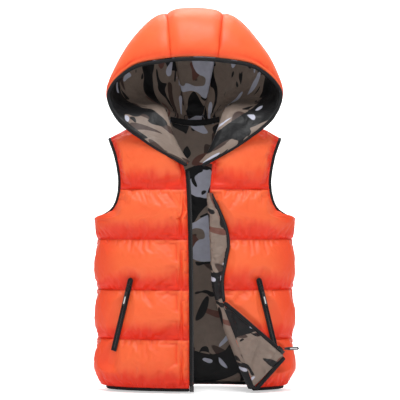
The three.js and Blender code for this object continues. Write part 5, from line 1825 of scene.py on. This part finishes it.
# ---- Inside the back neck ----
class VEST_OT_neck(bpy.types.Operator):
    """Makes the tape over the back neck seam and the hanger loop"""
    bl_idname = "vest.neck"
    bl_label = "Neck tape and loop"

    def execute(self, context):
        low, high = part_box("neck_seam_tape")
        x = np.linspace(low.x + 0.002, high.x - 0.002, 70)
        z_mid = neck_line_z(x) - 0.0025
        surface, out = outward(x, z_mid, 1)
        below_point, _ = outward(x, z_mid - 0.004, 1)
        centres = surface - out * 0.0185
        tape = sweep("neck_tape", to_world(centres), surface - below_point, out,
                     rounded_profile(0.0085, 0.0005, 0.0004))
        finish_piece(tape, "vest_body", "binding", ["neck_seam_tape"])

        low, high = (np.array(corner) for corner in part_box("hanger_loop"))
        half, foot, top = (high[0] - low[0]) / 2 - 0.001, low[2], high[2] - 0.001
        angles = np.linspace(0, math.pi / 2, 8)
        corner = 0.004
        right = [(half, foot), (half, mix(foot, top, 0.4))]
        right += [(half - corner + corner * math.cos(a), top - corner + corner * math.sin(a)) for a in angles]
        path = right + [(x, top) for x in np.linspace(half - corner, -half + corner, 14)[1:-1]]
        path += [(-px, pz) for px, pz in reversed(right)]
        y = (low[1] + high[1]) / 2
        points = np.array([(px, y, pz) for px, pz in path])
        points = along_path(points, count=90)[0]
        across = (0.0, 1.0, 0.0)
        up = np.cross(np.gradient(points, axis=0), across)
        loop = sweep("hanging_loop", points, across, up, rounded_profile(0.0029, 0.0009, 0.0006), round_ends=False)
        finish_piece(loop, "vest_body", "binding", ["hanger_loop"])
        return {"FINISHED"}


# ---- Stitching ----
class VEST_OT_stitching(bpy.types.Operator):
    """Sews thread rows along the quilting seams, the right front's edge and the hood's edge band"""
    bl_idname = "vest.stitching"
    bl_label = "Stitching"

    def execute(self, context):
        pitch = context.scene.vest_sizes.stitch_pitch
        for name, side, (x, z, shares), _ in panel_specs():
            rows = []
            for seam in SEAMS:
                row = int(np.argmin(np.abs(z[:, 0] - seam)))
                points, out = outward(x[row], z[row], side)
                rows.append(stitches("row", points + out * (SEAM_SINK + 0.0004), out, pitch))
            if name == "right_front":
                edge_z = np.linspace(0.014, FRONT_NECK_Z, 120)
                edge_x = -(line_x(right_inner_line(), edge_z) + 0.0142)
                points, out = outward(edge_x, edge_z, -1)
                rows.append(stitches("row", points + out * (SEAM_SINK * 0.6 + 0.0004), out, pitch))
            piece = joined(f"{name}_stitches", rows)
            finish_piece(piece, "vest_body", "thread")
        points, _ = hood_points(np.linspace(-0.97, 0.97, 240), HOOD_EDGE_INSET + EDGE_BAND, 0.002, 60)
        out = grid_normals(points, outside=(0, 0, 1.4))[0]
        piece = stitches("hood_band_stitches", points[0] - out * 0.0006, out, pitch)
        finish_piece(piece, HOOD_BODIES, "thread", (), HOOD_TOP_BLEND)
        return {"FINISHED"}


# ---- Stage ----
FLOOR_GAP = 0.004
BACKDROP_HALF = 14.0
BACKDROP_BEND = 2.0
CAMERA_LENS = 144
CAMERA_SENSOR = 36
CAMERA_PLACE = (0.01325, -4.13, -0.2175)


class VEST_OT_stage(bpy.types.Operator):
    """Sets the white floor and backdrop, the soft lights and the camera in front of the vest"""
    bl_idname = "vest.stage"
    bl_label = "Stage, lights and camera"

    def execute(self, context):
        scene = context.scene
        sizes = scene.vest_sizes
        floor_z = HEM_Z - FLOOR_GAP
        profile = [(-BACKDROP_HALF, 0.0), (3.0, 0.0)]
        profile += [(3.0 + BACKDROP_BEND * math.sin(a), BACKDROP_BEND - BACKDROP_BEND * math.cos(a))
                    for a in np.linspace(0.1, math.pi / 2, 12)]
        profile += [(5.0, 7.0)]
        points = [(x, y, floor_z + z) for x in (-BACKDROP_HALF, BACKDROP_HALF) for y, z in profile]
        count = len(profile)
        faces = [(k, k + 1, count + k + 1, count + k) for k in range(count - 1)]
        backdrop = make_object("backdrop", points, faces)
        material, tree, shader = new_material("White backdrop")
        grain = noise_field(tree, surface_vector(tree, False), in_Scale=1.5)
        tree.links.new(blend_colours(tree, grain, (0.93, 0.93, 0.93), (0.95, 0.95, 0.95)),
                       shader.inputs["Base Color"])
        set_inputs(shader, Roughness=0.9, Emission_Color=(1, 1, 1, 1))
        direct = tree.nodes.new("ShaderNodeLightPath")
        tree.links.new(maths(tree, "MULTIPLY", direct.outputs["Is Camera Ray"], 0.5),
                       shader.inputs["Emission Strength"])
        backdrop.data.materials.append(material)

        world = bpy.data.worlds.new("soft white")
        scene.world = world
        world.use_nodes = True
        tree = world.node_tree
        lighting = tree.nodes["Background"]
        set_inputs(lighting, Color=(1, 1, 1, 1), Strength=sizes.world_light)
        seen = node(tree, "ShaderNodeBackground", in_Strength=1.0, in_Color=(1, 1, 1, 1))
        either = tree.nodes.new("ShaderNodeMixShader")
        direct = tree.nodes.new("ShaderNodeLightPath")
        for source, socket in ((direct.outputs["Is Camera Ray"], either.inputs[0]),
                               (lighting.outputs[0], either.inputs[1]), (seen.outputs[0], either.inputs[2]),
                               (either.outputs[0], tree.nodes["World Output"].inputs[0])):
            tree.links.new(source, socket)

        for name, place_at, aim, size, power in (
                ("top front softbox", (0.0, -1.5, 2.6), (0, 0, -0.10), 1.8, sizes.top_light),
                ("front fill", (0.3, -4.5, 0.6), (0, 0, -0.2), 2.2, sizes.fill_light),
                ("crown light", (0.0, 0.6, 2.6), (0, 0, 0.1), 1.4, sizes.crown_light),
                ("backdrop light", (0.0, 2.2, 4.0), (0, 4.6, 0.0), 3.0, sizes.backdrop_light)):
            lamp = bpy.data.lights.new(name, "AREA")
            lamp.shape = "DISK"
            lamp.size = size
            lamp.energy = power
            light = bpy.data.objects.new(name, lamp)
            light.location = place_at
            light.rotation_euler = (Vector(aim) - Vector(place_at)).to_track_quat("-Z", "Y").to_euler()
            scene.collection.objects.link(light)

        camera = bpy.data.objects.new("camera", bpy.data.cameras.new("camera"))
        camera.data.lens = CAMERA_LENS
        camera.data.sensor_width = CAMERA_SENSOR
        camera.location = CAMERA_PLACE
        camera.rotation_euler = (math.pi / 2, 0, 0)
        scene.collection.objects.link(camera)
        scene.camera = camera
        scene.view_settings.view_transform = "Standard"
        scene.view_settings.look = "None"
        return {"FINISHED"}


# ---- Settings, panel and registration ----
def length_property(name, description, default, low, high):
    return bpy.props.FloatProperty(name=name, description=description, default=default, min=low, max=high,
                                   subtype="DISTANCE", unit="LENGTH")


def power_property(name, description, default):
    return bpy.props.FloatProperty(name=name, description=description, default=default, min=0.0, unit="POWER")


class VestSizes(bpy.types.PropertyGroup):
    """Sizes that a user would change"""
    cloth_step: length_property(
        "Cloth step", "Distance between the points of a quilted panel before it is smoothed", 0.0052, 0.003, 0.02)
    puff_height: length_property("Puff height", "Height of a filled channel over its seams", 0.0165, 0.0, 0.03)
    tooth_pitch: length_property("Tooth pitch", "Distance from one zip tooth to the next", 0.0026, 0.001, 0.01)
    stitch_pitch: length_property("Stitch pitch", "Distance from one stitch to the next", 0.0036, 0.001, 0.01)
    top_light: power_property("Top light", "Power of the softbox above the front", 74.0)
    fill_light: power_property("Fill light", "Power of the front fill", 9.0)
    crown_light: power_property("Crown light", "Power of the light over the hood", 2.0)
    backdrop_light: power_property("Backdrop light", "Power of the light on the backdrop", 200.0)
    world_light: bpy.props.FloatProperty(
        name="Surrounding light", description="Strength of the white surroundings", default=0.42, min=0.0)


def colour_property(name, description, default):
    return bpy.props.FloatVectorProperty(name=name, description=description, default=default, size=3,
                                         min=0.0, max=1.0, subtype="COLOR")


class VestColours(bpy.types.PropertyGroup):
    """Colours of the cloth and the fittings"""
    nylon: colour_property("Nylon", "Blaze orange of the shell", (0.98, 0.175, 0.050))
    # Painted shade: this redder orange darkens the nylon's hollows and shaded folds; it is also the thread's own colour
    # and the second tone of the nylon's random mottle.
    nylon_shade: colour_property("Nylon shade", "Redder orange in folds and of the thread", (0.82, 0.026, 0.005))
    lining_taupe: colour_property("Lining ground", "Taupe ground of the lining", (0.235, 0.180, 0.148))
    lining_brown: colour_property("Lining brown", "Dark brown of the lining", (0.060, 0.036, 0.030))
    lining_rust: colour_property("Lining rust", "Reddish brown of the lining", (0.150, 0.060, 0.045))
    lining_black: colour_property("Lining black", "Black of the lining", (0.004, 0.004, 0.005))
    lining_grey: colour_property("Lining grey", "Pale lilac grey of the lining", (0.52, 0.53, 0.63))
    binding: colour_property("Binding", "Black of the bindings and tapes", (0.004, 0.004, 0.005))
    hard_parts: colour_property("Hard parts", "Black of teeth, sliders and pulls", (0.006, 0.006, 0.007))
    mark: colour_property("Pull mark", "Pale bar moulded on the pulls", (0.62, 0.62, 0.62))


PIECE_OPERATORS = (VEST_OT_body_panels, VEST_OT_body_linings, VEST_OT_hood, VEST_OT_body_bindings,
                   VEST_OT_turned_edge, VEST_OT_loose_corner, VEST_OT_front_zip, VEST_OT_pockets,
                   VEST_OT_sliders, VEST_OT_pulls, VEST_OT_neck, VEST_OT_stitching)


class VEST_PT_panel(bpy.types.Panel):
    """Lists the settings and the steps that make the vest"""
    bl_idname = "VEST_PT_panel"
    bl_label = "Vest"
    bl_space_type = "VIEW_3D"
    bl_region_type = "UI"
    bl_category = "Vest"

    def draw(self, context):
        layout = self.layout
        for settings in (context.scene.vest_sizes, context.scene.vest_colours):
            box = layout.box()
            for name in settings.__annotations__:
                box.prop(settings, name)
        layout.operator(VEST_OT_stage.bl_idname)
        for piece_operator in PIECE_OPERATORS:
            layout.operator(piece_operator.bl_idname)


CLASSES = (VestSizes, VestColours, VEST_OT_stage, *PIECE_OPERATORS, VEST_PT_panel)


def register():
    for each in CLASSES:
        bpy.utils.register_class(each)
    bpy.types.Scene.vest_sizes = bpy.props.PointerProperty(type=VestSizes)
    bpy.types.Scene.vest_colours = bpy.props.PointerProperty(type=VestColours)


def unregister():
    del bpy.types.Scene.vest_colours
    del bpy.types.Scene.vest_sizes
    for each in reversed(CLASSES):
        bpy.utils.unregister_class(each)


def main():
    register()
    bpy.ops.vest.stage()
    for piece_operator in PIECE_OPERATORS:
        getattr(bpy.ops.vest, piece_operator.bl_idname.split(".")[1])()
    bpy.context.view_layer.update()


if __name__ == "__main__":
    main()
